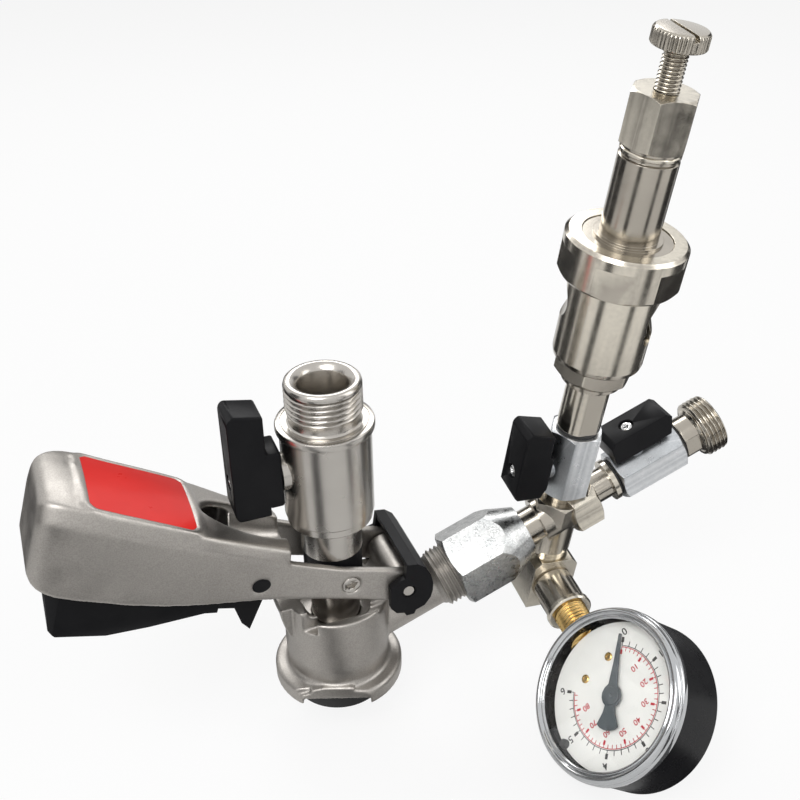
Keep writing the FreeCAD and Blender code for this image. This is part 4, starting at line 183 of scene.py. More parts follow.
def flat_panel(name, corners, material):
    """A flat stage piece, which isn't part of the object."""
    mesh = bpy.data.meshes.new(name)
    mesh.from_pydata(corners, [], [tuple(range(len(corners)))])
    panel = bpy.data.objects.new(name, mesh)
    scene.collection.objects.link(panel)
    mesh.materials.append(material)
    return panel


scene.view_settings.view_transform = "Standard"
flat_panel("floor", [(-FLOOR_REACH, -FLOOR_REACH, FLOOR_HEIGHT), (FLOOR_REACH, -FLOOR_REACH, FLOOR_HEIGHT),
                     (FLOOR_REACH, FLOOR_REACH, FLOOR_HEIGHT), (-FLOOR_REACH, FLOOR_REACH, FLOOR_HEIGHT)],
           floor_material())
print("floor at", round(FLOOR_HEIGHT / MM, 1), "mm")

# %% [markdown]
# ## The world
#
# The world is a soft white room. It lights the part at less than half strength, so the lamps can still model
# its shapes. The camera, glass and polished metal see the same world as plain white.

# %% Make the world
WORLD_LIGHT = 0.45
world = bpy.data.worlds.new("studio")
scene.world = world
world.use_nodes = True
sky = world.node_tree
sky.nodes.clear()
sky_output = add_node(sky, "OutputWorld")
room_light = add_node(sky, "Background", {"Strength": WORLD_LIGHT})
plain_white = add_node(sky, "Background", {"Color": (1, 1, 1, 1), "Strength": 1.0})
sky_rays = add_node(sky, "LightPath")
seen_directly = add_node(sky, "Math", operation="MAXIMUM")
seen_at_all = add_node(sky, "Math", operation="MAXIMUM")
sky_mix = add_node(sky, "MixShader")
link(sky, (sky_rays.outputs["Is Camera Ray"], seen_directly.inputs[0]),
     (sky_rays.outputs["Is Transmission Ray"], seen_directly.inputs[1]),
     (seen_directly.outputs[0], seen_at_all.inputs[0]),
     (sky_rays.outputs["Is Glossy Ray"], seen_at_all.inputs[1]),
     (seen_at_all.outputs[0], sky_mix.inputs[0]),
     (room_light.outputs[0], sky_mix.inputs[1]),
     (plain_white.outputs[0], sky_mix.inputs[2]),
     (sky_mix.outputs[0], sky_output.inputs["Surface"]))
print("world light", WORLD_LIGHT)

# %% [markdown]
# ## The lamps
#
# A photographer would light such a part with softboxes. Three area lamps do the same: a key from the front
# left, a tall fill from the right, and a strip from behind that draws the upper edges.

# %% Hang the lamps
part_centre = (cad_low + cad_high) / 2


def lamp(name, offset, size, watts):
    """A softbox at an offset from the part's centre, turned to face it."""
    data = bpy.data.lights.new(name, "AREA")
    data.shape = "RECTANGLE"
    data.size, data.size_y = size
    data.energy = watts
    light = bpy.data.objects.new(name, data)
    scene.collection.objects.link(light)
    place = part_centre + Vector(offset)
    light.location = place
    light.rotation_euler = (part_centre - place).to_track_quat("-Z", "Y").to_euler()


lamp("key softbox", (-0.55, -0.55, 0.95), (0.7, 0.7), 9.0)
lamp("fill softbox", (0.9, -0.5, 0.45), (0.5, 0.9), 3.5)
lamp("back strip", (0.2, 0.9, 0.7), (1.0, 0.3), 4.5)
print("lamps:", [light.name for light in bpy.data.lights])

# %% [markdown]
# ## Dark cards for the metal
#
# Bare metal has no colour of its own and shows its surroundings. In a white room it would look like chalk.
# Photographers stand black cards round it, and so do we. Only reflections see them, and they give the
# cylinders their dark bands. An upright cylinder seen from above mirrors the floor, so some cards lie there.

# %% Stand the dark cards
CARD_SHADE = (0.05, 0.05, 0.052, 1)
CARDS_MIDDLE_X = 0.05
CAMERA_SIDE_DEG = 24
NEAR_END, FAR_END, TALL_REACH = 0.03, 1.6, 1.4
FLOOR_CARDS = ((92, 122), (128, 156), (-92, -128), (-134, -160), (20, 36), (-44, -56))
TALL_CARDS = ((60, 92, -0.1, 0.9), (-60, -88, -0.1, 1.0), (-8, 12, 0.75, 1.5), (150, 185, 0.1, 0.8),
              (-120, -150, 0.1, 0.7))

card_material, card_tree, card_output = new_material("dark card")
card_glow = add_node(card_tree, "Emission", {"Color": CARD_SHADE})
link(card_tree, (card_glow.outputs[0], card_output.inputs["Surface"]))


def spot(heading_deg, reach, height):
    """A place round the part. The heading is counted from the camera's side, and grows towards -X."""
    heading = math.radians(heading_deg + CAMERA_SIDE_DEG)
    return CARDS_MIDDLE_X - math.sin(heading) * reach, -math.cos(heading) * reach, height


def dark_card(name, corners):
    """A card that only reflections see."""
    card = flat_panel(name, corners, card_material)
    card.visible_camera = False
    card.visible_diffuse = False
    card.visible_shadow = False
    card.visible_transmission = False


card_height = FLOOR_HEIGHT + MM
for index, (first, last) in enumerate(FLOOR_CARDS):
    dark_card(f"floor card {index}", [
        spot(first, NEAR_END, card_height), spot(last, NEAR_END, card_height),
        spot(last, FAR_END, card_height), spot(first, FAR_END, card_height)])
for index, (first, last, low, high) in enumerate(TALL_CARDS):
    dark_card(f"tall card {index}", [
        spot(first, TALL_REACH, low), spot(last, TALL_REACH, low),
        spot(last, TALL_REACH, high), spot(first, TALL_REACH, high)])
print("dark cards:", len(FLOOR_CARDS) + len(TALL_CARDS))

# %% [markdown]
# ## Grain, a shader group
#
# Castings, plating and plastic all have a fine, even unevenness. We could build it anew in each material. A
# node group with named sockets is better: we make the effect once and set its values wherever it is used.
# This one gives a height for bump and a mask, in the part's own space, so it moves with the part.

# %% Make the grain group
def new_group(name, inputs, outputs):
    """A node group of plain numbers. Inputs are names with their defaults, outputs are names."""
    group = bpy.data.node_groups.new(name, "ShaderNodeTree")
    for socket, default in inputs.items():
        item = group.interface.new_socket(socket, in_out="INPUT", socket_type="NodeSocketFloat")
        item.default_value = default
    for socket in outputs:
        group.interface.new_socket(socket, in_out="OUTPUT", socket_type="NodeSocketFloat")
    return group, group.nodes.new("NodeGroupInput"), group.nodes.new("NodeGroupOutput")


def grain_group():
    """Fine noise, which a stretch above 1 squeezes along Z."""
    group, ins, outs = new_group("Grain", {"Scale": 2500.0, "Detail": 3.0, "Stretch": 1.0},
                                 ("Height", "Mask"))
    place = add_node(group, "TexCoord")
    stretch = add_node(group, "CombineXYZ", {"X": 1.0, "Y": 1.0})
    scaled = add_node(group, "VectorMath", operation="MULTIPLY")
    fine = add_node(group, "TexNoise")
    contrast = add_node(group, "MapRange", {"From Min": 0.35, "From Max": 0.65})
    link(group, (ins.outputs["Stretch"], stretch.inputs["Z"]),
         (place.outputs["Object"], scaled.inputs[0]),
         (stretch.outputs[0], scaled.inputs[1]),
         (scaled.outputs[0], fine.inputs["Vector"]),
         (ins.outputs["Scale"], fine.inputs["Scale"]),
         (ins.outputs["Detail"], fine.inputs["Detail"]),
         (fine.outputs[0], contrast.inputs["Value"]),
         (fine.outputs[0], outs.inputs["Height"]),
         (contrast.outputs["Result"], outs.inputs["Mask"]))
    return group


GRAIN = grain_group()
print("group:", GRAIN.name)

# %% [markdown]
# ## Patches, a shader group
#
# No plating or casting is the same all over: handling leaves broad, soft patches. A second group spreads a
# coarse noise between a low and a high value. Colour uses it from 0 to 1, and roughness in a narrow range.

# %% Make the patches group
def patch_group():
    """Broad, soft patches, as handling and plating leave them."""
    group, ins, outs = new_group("Patches", {"Scale": 90.0, "Low": 0.0, "High": 1.0}, ("Value",))
    place = add_node(group, "TexCoord")
    broad = add_node(group, "TexNoise", {"Detail": 4, "Roughness": 0.6})
    spread = add_node(group, "MapRange", {"From Min": 0.3, "From Max": 0.7})
    link(group, (place.outputs["Object"], broad.inputs["Vector"]),
         (ins.outputs["Scale"], broad.inputs["Scale"]),
         (broad.outputs[0], spread.inputs["Value"]),
         (ins.outputs["Low"], spread.inputs["To Min"]),
         (ins.outputs["High"], spread.inputs["To Max"]),
         (spread.outputs["Result"], outs.inputs["Value"]))
    return group


PATCHES = patch_group()
print("group:", PATCHES.name)

# %% [markdown]
# ## Edge wear and painted highlight, a shader group
#
# Outward edges are painted a little brighter: partly handling wear, partly a painted highlight where edges
# catch the light. Blender's Pointiness is high there, so we cut a mask out of it, and break the mask up with
# noise so that the bright edge doesn't look like a drawn line.

# %% Make the edge wear and highlight group
def edge_group():
    """A mask that is 1 along outward edges, where handling wears a finish first and where a highlight is
    painted.
    """
    group, ins, outs = new_group("Edge wear and painted highlight", {"Start": 0.52, "End": 0.58, "Breakup": 0.5}, ("Mask",))
    shape = add_node(group, "NewGeometry")
    edge = add_node(group, "MapRange")
    place = add_node(group, "TexCoord")
    rough = add_node(group, "TexNoise", {"Scale": 700})
    broken = add_node(group, "Math", operation="MULTIPLY")
    left = add_node(group, "Math", operation="SUBTRACT", use_clamp=True)
    link(group, (shape.outputs["Pointiness"], edge.inputs["Value"]),
         (ins.outputs["Start"], edge.inputs["From Min"]),
         (ins.outputs["End"], edge.inputs["From Max"]),
         (place.outputs["Object"], rough.inputs["Vector"]),
         (rough.outputs[0], broken.inputs[0]),
         (ins.outputs["Breakup"], broken.inputs[1]),
         (edge.outputs["Result"], left.inputs[0]),
         (broken.outputs[0], left.inputs[1]),
         (left.outputs[0], outs.inputs["Mask"]))
    return group


EDGE_WEAR_AND_HIGHLIGHT = edge_group()
print("group:", EDGE_WEAR_AND_HIGHLIGHT.name)

# %% [markdown]
# ## A recipe for finishes
#
# One recipe serves all finishes but glass. A Principled shader has a base colour that varies a little in
# broad patches, a roughness that does so too, and a bump from the grain. Only the numbers differ between a
# bead-blasted casting, plated brass and moulded plastic. A Bevel node rounds the shading of sharp edges, so
# they catch the light as real ones do.

# %% Write the recipe
COAT_ROUGHNESS = 0.08
DARKER = 0.88
ROUGHNESS_PATCHES = 2.3


def use_group(tree, group, **values):
    """A group placed in a material, with its own values."""
    node = add_node(tree, "Group", node_tree=group)
    for socket, value in values.items():
        node.inputs[socket].default_value = value
    return node


def finish(name, colour, metallic, roughness, second=None, grain=2500.0, stretch=1.0, bump=0.1,
           bump_size=0.05, patch=60.0, rough_spread=0.06, edge=None, coat=0.0, speckle=0.0, rounding=0.22,
           shine=0.5):
    """A finish: two near colours in patches, uneven roughness and fine grain. If asked, dark speckles and
    brighter edges, partly wear and partly a painted highlight, come on top. The bump's size and the rounding
    of the edges are in mm."""
    material, tree, output = new_material(name)
    shader = add_node(tree, "BsdfPrincipled", {"Metallic": metallic, "Coat Weight": coat,
                                               "Coat Roughness": COAT_ROUGHNESS, "Specular IOR Level": shine})
    second = second or [DARKER * part for part in colour]
    blend = add_node(tree, "Mix", {"A": (*colour, 1), "B": (*second, 1)}, data_type="RGBA")
    patches = use_group(tree, PATCHES, Scale=patch)
    link(tree, (patches.outputs["Value"], blend.inputs["Factor"]))
    colour_out = blend.outputs["Result"]

    grain_node = use_group(tree, GRAIN, Scale=grain, Stretch=stretch)
    if speckle:
        dark = (1 - speckle, 1 - speckle, 1 - speckle, 1)
        speckled = add_node(tree, "Mix", {"B": dark}, data_type="RGBA", blend_type="MULTIPLY")
        link(tree, (grain_node.outputs["Mask"], speckled.inputs["Factor"]),
             (colour_out, speckled.inputs["A"]))
        colour_out = speckled.outputs["Result"]
    # The edge colour paints outward edges brighter: partly handling wear, partly a painted highlight.
    if edge:
        wear_and_highlight = add_node(tree, "Mix", {"B": (*edge, 1)}, data_type="RGBA")
        wear_and_highlight_mask = use_group(tree, EDGE_WEAR_AND_HIGHLIGHT)
        link(tree, (wear_and_highlight_mask.outputs["Mask"], wear_and_highlight.inputs["Factor"]), (colour_out, wear_and_highlight.inputs["A"]))
        colour_out = wear_and_highlight.outputs["Result"]

    uneven = use_group(tree, PATCHES, Scale=patch * ROUGHNESS_PATCHES, Low=roughness - rough_spread,
                       High=roughness + rough_spread)
    relief = add_node(tree, "Bump", {"Strength": bump, "Distance": bump_size * MM})
    soft_edge = add_node(tree, "Bevel", {"Radius": rounding * MM}, samples=4)
    link(tree, (colour_out, shader.inputs["Base Color"]),
         (uneven.outputs["Value"], shader.inputs["Roughness"]),
         (grain_node.outputs["Height"], relief.inputs["Height"]),
         (soft_edge.outputs[0], relief.inputs["Normal"]),
         (relief.outputs[0], shader.inputs["Normal"]),
         (shader.outputs[0], output.inputs["Surface"]))
    return material


print("the recipe is ready")

# %% [markdown]
# ## The metals
#
# The lever and the bell are blasted castings, so they are grey, speckled and quite rough. The beer valve is
# polished stainless steel. The manifold is brass with a warm nickel plate, its two small valves have a cooler
# satin chrome, and the hexagon sleeve has a bright, blotchy coat of zinc. The gauge's stem is bare brass.

# %% Mix the metals
finishes = {
    # Each edge colour paints outward edges brighter: partly wear, partly a painted highlight.
    "cast_steel": finish("bead-blasted casting", (0.45, 0.425, 0.395), 1.0, 0.42, grain=2200, bump=0.55,
                         bump_size=0.08, patch=45, rough_spread=0.08, edge=(0.55, 0.52, 0.48), speckle=0.2,
                         rounding=0.4),
    "polished_steel": finish("polished stainless", (0.50, 0.475, 0.44), 1.0, 0.25, grain=900, stretch=9.0,
                             bump=0.05, patch=35, rough_spread=0.04),
    "bright_zinc": finish("bright zinc", (0.56, 0.56, 0.55), 1.0, 0.30, second=(0.40, 0.41, 0.41),
                          grain=1300, bump=0.3, bump_size=0.07, patch=150, rough_spread=0.12, speckle=0.3),
    "nickel_plate": finish("nickel-plated brass", (0.45, 0.415, 0.36), 1.0, 0.2, grain=1500, bump=0.05,
                           rough_spread=0.05, edge=(0.75, 0.70, 0.60)),
    "satin_chrome": finish("satin chrome", (0.52, 0.54, 0.56), 1.0, 0.32, grain=1800, bump=0.2,
                           bump_size=0.04, patch=90, rough_spread=0.07, edge=(0.80, 0.81, 0.82),
                           speckle=0.12),
    "raw_brass": finish("bare brass", (0.72, 0.50, 0.20), 1.0, 0.24, grain=1200, bump=0.08),
    "handle_screw": finish("bright screw", (0.72, 0.72, 0.72), 1.0, 0.24, grain=900, bump=0.05),
    "spring_steel": finish("spring wire", (0.60, 0.60, 0.60), 1.0, 0.25, grain=900, bump=0.05),
}
print("metals:", len(finishes))

# %% [markdown]
# ## Plastics, rubber and the gauge's finishes
#
# The handles, the trigger and the clip are black plastic that swallows light. A pure black would lose their
# shapes, so a faint shine stays on them. The gauge adds a lacquered case, a bright bezel, an off-white dial
# and a dark grey pointer, and the lever a smooth red label.

# %% Mix the other finishes
finishes.update({
    "black_plastic": finish("moulded black plastic", (0.006, 0.006, 0.007), 0.0, 0.36,
                            second=(0.009, 0.009, 0.01), grain=2600, bump=0.2, bump_size=0.04,
                            rough_spread=0.05, rounding=0.5, shine=0.1),
    "black_rubber": finish("black rubber", (0.011, 0.011, 0.011), 0.0, 0.58, second=(0.02, 0.02, 0.02),
                           grain=1800, bump=0.2, rough_spread=0.08),
    "white_seat": finish("white seat plastic", (0.84, 0.83, 0.80), 0.0, 0.4, grain=900, bump=0.05),
    "red_label": finish("red label", (0.78, 0.028, 0.022), 0.0, 0.3, second=(0.72, 0.022, 0.018),
                        grain=700, bump=0.04, rough_spread=0.03, coat=0.08, shine=0.2),
    "black_case": finish("black lacquer", (0.007, 0.007, 0.008), 0.0, 0.28, second=(0.01, 0.01, 0.011),
                         grain=1500, bump=0.05, rough_spread=0.04, shine=0.18),
    "clear_bezel": finish("clear bezel", (0.52, 0.53, 0.54), 0.9, 0.09, second=(0.46, 0.47, 0.48),
                          grain=900, bump=0.02, rough_spread=0.02, coat=1.0),
    "dial_white": finish("dial white", (0.70, 0.70, 0.67), 0.0, 0.5, second=(0.66, 0.66, 0.63),
                         grain=900, bump=0.02),
    "pointer_grey": finish("pointer lacquer", (0.075, 0.088, 0.095), 0.0, 0.42, grain=900, bump=0.03),
})
print("finishes so far:", len(finishes))

# %% [markdown]
# ## The lens
#
# The gauge's lens is clear. Plain glass would throw a dark shadow on the dial, because a ray tracer doesn't
# bend light into it well. We let shadow rays pass straight through, and keep true glass for everything else.
# Then every CAD piece gets the finish that its slot names.

# %% Make the lens and dress the CAD pieces
def lens_finish():
    """Clear glass that lets light through to the dial."""
    material, tree, output = new_material("clear lens")
    glass = add_node(tree, "BsdfPrincipled", {"Base Color": (1, 1, 1, 1), "Roughness": 0.02,
                                              "Transmission Weight": 1.0, "IOR": 1.46})
    clear = add_node(tree, "BsdfTransparent")
    rays = add_node(tree, "LightPath")
    mix = add_node(tree, "MixShader")
    link(tree, (rays.outputs["Is Shadow Ray"], mix.inputs[0]),
         (glass.outputs[0], mix.inputs[1]),
         (clear.outputs[0], mix.inputs[2]),
         (mix.outputs[0], output.inputs["Surface"]))
    return material


finishes["clear_lens"] = lens_finish()
for node, thing in nodes.items():
    for holder in thing.material_slots:
        holder.material = finishes[slot_of[node]]
print(len(finishes), "finishes on", len(nodes), "nodes")

# %% [markdown]
# ## Local frames
#
# Most of this part stands at an angle: the gas side rises a little, and the riser and the gauge lean. It is
# easier to think of each piece upright, with Z as its own axis. A frame is a matrix that takes such a piece
# to its place. Where a joint knows the place or the direction, we take it from there.

# %% Set up the frames
GAS_ORIGIN = Vector((0, 0, 20.12))
GAS_WAY = Vector((0.936244, 0, 0.351351))
RISER_ORIGIN = Vector((90.862, 0, 54.219))
RISER_WAY = Vector((0.095, -0.119, 0.988339))
STEM_ORIGIN = Vector((88.003, 3.582, 24.470))
STEM_WAY = Vector((-0.025283, -0.992797, -0.117106))
DIAL_ORIGIN = Vector(joint_of["pointer_turn"]["pos_m"]) / MM
DIAL_WAY = Vector(joint_of["pointer_turn"]["axis"]).normalized()
LEVER_ORIGIN = Vector(joint_of["lever_swing"]["pos_m"]) / MM
LEVER_RISE = math.radians(18.45)


def frame_at(origin, x_axis, z_axis):
    """The place of a local frame, from its origin in mm, its X direction and its Z direction."""
    z_axis = z_axis.normalized()
    x_axis = (x_axis - z_axis * x_axis.dot(z_axis)).normalized()
    turn = Matrix((x_axis, z_axis.cross(x_axis), z_axis)).transposed().to_4x4()
    return Matrix.Translation(origin * MM) @ turn


AT_COUPLER = Matrix.Identity(4)
AT_GAS = frame_at(GAS_ORIGIN, Vector(joint_of["gas_valve_turn"]["axis"]), GAS_WAY)
AT_RISER = frame_at(RISER_ORIGIN, Vector(joint_of["bleed_valve_turn"]["axis"]), RISER_WAY)
AT_STEM = frame_at(STEM_ORIGIN, DIAL_WAY, STEM_WAY)
AT_DIAL = frame_at(DIAL_ORIGIN, (STEM_WAY * -1).cross(DIAL_WAY), DIAL_WAY)
AT_LEVER = frame_at(LEVER_ORIGIN, Vector((-math.cos(LEVER_RISE), 0, math.sin(LEVER_RISE))),
                    Vector((math.sin(LEVER_RISE), 0, math.cos(LEVER_RISE))))
print("dial centre in mm", [round(value, 1) for value in DIAL_ORIGIN])

# %% [markdown]
# ## From points to a piece
#
# Nearly every mesh below is a skin over a stack of layers: the rings of a turned piece, the two faces of a
# flat one, the slices of a bent wire. One helper makes the faces. Another welds and shades the mesh, gives it
# its finish, and lets it ride on a body of the CAD model.

# %% Write the piece helpers
WELD = 0.0005 * MM
SMOOTH_BELOW_DEG = 32


def polar(radius, angle):
    return radius * math.cos(angle), radius * math.sin(angle)


def level(points, height):
    """Flat points, (x, y), lifted to a height."""
    return [(x, y, height) for x, y in points]


def skinned(layers, ring=False):
    """Points and faces of a skin over layers that have as many points each. A ring's last layer joins its
    first. Any other skin has a cap at each end."""
    count = len(layers[0])
    vertices = [point for layer in layers for point in layer]
    faces = []
    for index in range(len(layers) if ring else len(layers) - 1):
        low = index * count
        high = (index + 1) % len(layers) * count
        for side in range(count):
            after = (side + 1) % count
            faces.append((low + side, low + after, high + after, high + side))
    if not ring:
        faces.append(tuple(reversed(range(count))))
        faces.append(tuple(range(len(vertices) - count, len(vertices))))
    return vertices, faces


def weld(mesh, outward=True):
    """Join the points that lie together. A new mesh gets its faces turned outwards as well."""
    work = bmesh.new()
    work.from_mesh(mesh)
    bmesh.ops.remove_doubles(work, verts=work.verts, dist=WELD)
    if outward:
        bmesh.ops.recalc_face_normals(work, faces=work.faces)
    work.to_mesh(mesh)
    work.free()


def shade(mesh, crease_deg=SMOOTH_BELOW_DEG):
    """Smooth shading, with a crease at each edge that is sharper than an angle."""
    mesh.polygons.foreach_set("use_smooth", [True] * len(mesh.polygons))
    mesh.set_sharp_from_angle(angle=math.radians(crease_deg))


def dressed(name, mesh, material, body):
    """An object that has a material and rides on a body."""
    piece = bpy.data.objects.new(name, mesh)
    scene.collection.objects.link(piece)
    mesh.materials.clear()
    mesh.materials.append(material)
    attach(piece, body)
    return piece


def add_piece(name, shape, place, slot, body, crease_deg=SMOOTH_BELOW_DEG, material=None):
    """A piece from points in mm in a local frame. Unless it gets a material, it has its slot's finish."""
    vertices, faces = shape
    mesh = bpy.data.meshes.new(name)
    mesh.from_pydata([place @ (Vector(point) * MM) for point in vertices], [], faces)
    weld(mesh)
    shade(mesh, crease_deg)
    return dressed(name, mesh, material or finishes[slot], body)


print("piece helpers ready")

# %% [markdown]
# ## Turning and threading
#
# Most pieces of this part come off a lathe. CAD keeps their threads as plain cylinders, because a helix makes
# a CAD file heavy. In Blender a thread is cheap: we spin an outline round the axis and let the radius rise
# and fall along a helix. A helix cut out with a boolean would give the same picture with far more faces.

# %% Write the turning helpers
ROWS_PER_TURN = 8
NEAR_ENOUGH = 0.01
ROOT_FLAT, FLANK = 0.14, 0.72  # shares of half a pitch


def is_threaded(start, end, thread):
    """Whether a stretch of outline rises within the thread and lies outside its root."""
    outside = min(start[0], end[0]) >= thread["root"] - NEAR_ENOUGH
    above = start[1] >= thread["low"] - NEAR_ENOUGH
    below = end[1] <= thread["high"] + NEAR_ENOUGH
    return end[1] > start[1] and outside and above and below


def thread_rows(start, end, thread):
    """Closely spaced points along a threaded stretch."""
    count = max(2, round((end[1] - start[1]) / thread["pitch"] * ROWS_PER_TURN))
    for step in range(count):
        share = step / count
        yield start[0] + (end[0] - start[0]) * share, start[1] + (end[1] - start[1]) * share, True


def thread_radius(radius, height, turn, thread):
    """The radius at a height and a share of a turn: the full radius on the crest, less in the groove."""
    phase = (height / thread["pitch"] - turn) % 1
    flank = min(1.0, max(0.0, (abs(phase * 2 - 1) - ROOT_FLAT) / FLANK))
    return thread["root"] + (radius - thread["root"]) * flank


def turned_shape(outline, thread=None, sides=96):
    """Spin an outline, (radius, height) in mm, round Z. Between thread["low"] and thread["high"] the radius
    falls to thread["root"] along a right-handed helix."""
    rows = []
    for start, end in zip(outline, outline[1:] + outline[:1]):
        if thread and is_threaded(start, end, thread):
            rows.extend(thread_rows(start, end, thread))
        else:
            rows.append((*start, False))
    layers = []
    for radius, height, cut in rows:
        layer = []
        for side in range(sides):
            here = thread_radius(radius, height, side / sides, thread) if cut else radius
            layer.append((*polar(here, 2 * math.pi * side / sides), height))
        layers.append(layer)
    return skinned(layers, ring=True)


def turned(name, outline, place, slot, body, thread=None, sides=96, crease_deg=SMOOTH_BELOW_DEG,
           material=None):
    return add_piece(name, turned_shape(outline, thread, sides), place, slot, body, crease_deg, material)


print("turning helpers ready")

# %% [markdown]
# ## The beer outlet
#
# The outlet is a screwed end piece: a ring with a shallow groove, and above it a spigot with a coarse pipe
# thread under a bevelled mouth. The first turns run out towards the ring, as a cut thread does.

# %% Turn the beer outlet
RING_LOW, RING_TOP, SPIGOT_TOP = 114.75, 117.74, 133.54
outlet = turned("outlet_spigot", [
    (8.6, 112.05), (12.25, 112.05), (12.25, RING_LOW), (16.3, RING_LOW), (16.85, RING_LOW + 0.25),
    (17.0, RING_LOW + 0.8), (17.0, RING_TOP - 0.75), (16.75, RING_TOP - 0.2), (16.3, RING_TOP),
    (15.3, RING_TOP), (15.2, RING_TOP - 0.35), (14.8, RING_TOP - 0.35), (14.7, RING_TOP + 0.05),
    (12.9, RING_TOP + 0.05), (12.3, RING_TOP + 0.5), (12.0, RING_TOP + 1.3), (12.0, RING_TOP + 3.0),
    (12.45, RING_TOP + 3.8), (13.22, RING_TOP + 4.5), (13.22, SPIGOT_TOP - 2.2), (13.22, SPIGOT_TOP - 1.9),
    (12.9, SPIGOT_TOP - 0.7), (12.3, SPIGOT_TOP - 0.12), (11.9, SPIGOT_TOP), (10.9, SPIGOT_TOP),
    (10.5, SPIGOT_TOP - 0.15), (8.85, SPIGOT_TOP - 1.8), (8.6, SPIGOT_TOP - 2.3),
], AT_COUPLER, "polished_steel", body_of["beer_valve_end"], sides=128,
    thread={"low": RING_TOP + 3.8, "high": SPIGOT_TOP - 2.2, "pitch": 1.95, "root": 12.05})
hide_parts("beer_valve_end")
print("outlet faces:", len(outlet.data.polygons))

# %% [markdown]
# ## The gas port's thread
#
# A short stretch of thread shows between the bell's port and the hexagon sleeve. The port itself is part of
# the casting, so the thread is a thin sleeve of its own round it.

# %% Turn the port's thread
GAS_PITCH = 1.81
port_thread = turned("gas_port_thread", [
    (9.6, 43.2), (10.55, 43.2), (11.3, 43.7), (11.42, 43.8), (11.42, 50.2), (11.3, 50.45), (9.6, 50.45),
], AT_GAS, "cast_steel", "coupler", thread={"low": 43.6, "high": 50.3, "pitch": GAS_PITCH, "root": 10.52})
print("port thread faces:", len(port_thread.data.polygons))

# %% [markdown]
# ## The gas inlet
#
# The inlet at the far end has the same thread, and two flats for a spanner on its neck. A lathe can't make
# flats, so we build the inlet from two pieces: a turned thread and a flattened neck.

# %% Make the gas inlet
NECK_LOW, NECK_TOP, INLET_TOP = 152.9, 160.2, 168.97
inlet = turned("gas_inlet_thread", [
    (4.0, NECK_TOP - 0.1), (9.8, NECK_TOP - 0.1), (10.55, NECK_TOP + 0.1), (11.1, NECK_TOP + 0.5),
    (11.45, NECK_TOP + 0.9), (11.45, INLET_TOP - 1.3), (11.1, INLET_TOP - 0.6), (10.55, INLET_TOP - 0.15),
    (10.2, INLET_TOP), (7.2, INLET_TOP), (7.0, INLET_TOP - 0.1), (4.0, INLET_TOP - 3.5),
], AT_GAS, "nickel_plate", "coupler",
    thread={"low": NECK_TOP + 0.1, "high": INLET_TOP - 0.6, "pitch": GAS_PITCH, "root": 10.45})


def flatted(radius, half_flats, sides=96):
    """A circle with two flats, as points in a plane. Flats as wide as the circle leave it round."""
    circle = [polar(radius, 2 * math.pi * side / sides) for side in range(sides)]
    return [(x, max(-half_flats, min(half_flats, y))) for x, y in circle]


bore, pipe, collar = flatted(4.0, 4.0), flatted(6.5, 6.5), flatted(9.4, 9.4)
neck, neck_edge = flatted(8.0, 7.0), flatted(7.7, 6.7)
inlet_neck = add_piece("gas_inlet_neck", skinned([
    level(bore, 148.4), level(pipe, 148.4), level(pipe, NECK_LOW), level(neck_edge, NECK_LOW),
    level(neck, NECK_LOW + 0.3), level(neck, NECK_TOP - 1.2), level(collar, NECK_TOP - 0.1),
    level(bore, NECK_TOP - 0.1),
], ring=True), AT_GAS, "nickel_plate", "coupler")
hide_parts("gas_inlet")
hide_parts("gas_inlet")
print("inlet faces:", len(inlet.data.polygons) + len(inlet_neck.data.polygons))

# %% [markdown]
# ## The adjusting screw
#
# It sets the relief valve's spring. It is an M8 screw, so its thread has a pitch of 1.25 mm, and it runs down
# inside the tube. The same turning helper makes it.

# %% Turn the screw
KNOB_LOW, KNOB_TOP, KNOB_RADIUS = 181.7, 187.3, 8.8
screw = turned("screw_thread", [
    (0.0, 140.1), (3.0, 140.1), (3.35, 140.6), (4.0, 141.2), (4.0, KNOB_LOW - 1.4), (3.4, KNOB_LOW - 0.9),
    (3.4, KNOB_LOW + 0.3), (0.0, KNOB_LOW + 0.3),
], AT_RISER, "nickel_plate", "adjusting_screw", sides=48,
    thread={"low": 140.6, "high": KNOB_LOW - 0.9, "pitch": 1.25, "root": 3.35})
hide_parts("adjusting_screw")
print("screw faces:", len(screw.data.polygons))

# %% [markdown]
# ## The knob
#
# The knob's rim is knurled with straight grooves, and a slot for a screwdriver or a coin runs across its top.
# We could cut every groove with a boolean. It is quicker to pull in two of every four points of the rim, and
# to leave the boolean to the slot.

# %% Knurl and slot the knob
GROOVES, GROOVE_DEPTH = 44, 0.4
SLOT_LENGTH, SLOT_WIDTH, SLOT_DEPTH = 24, 1.6, 1.8
CUT_CREASE_DEG = 28


def box_mesh(place, size):
    """A box to cut with. Its middle is at the place, and its size is in mm."""
    mesh = bpy.data.meshes.new("cutting box")
    work = bmesh.new()
    bmesh.ops.create_cube(work, size=1)
    scale = Matrix.Diagonal((*(side * MM for side in size), 1))
    bmesh.ops.transform(work, matrix=place @ scale, verts=work.verts)
    work.to_mesh(mesh)
    work.free()
    return mesh


def settle(piece):
    """Put the result of a piece's modifiers into its mesh."""
    shape = bpy.data.meshes.new_from_object(piece.evaluated_get(bpy.context.evaluated_depsgraph_get()))
    piece.modifiers.clear()
    old = piece.data
    piece.data = shape
    bpy.data.meshes.remove(old)


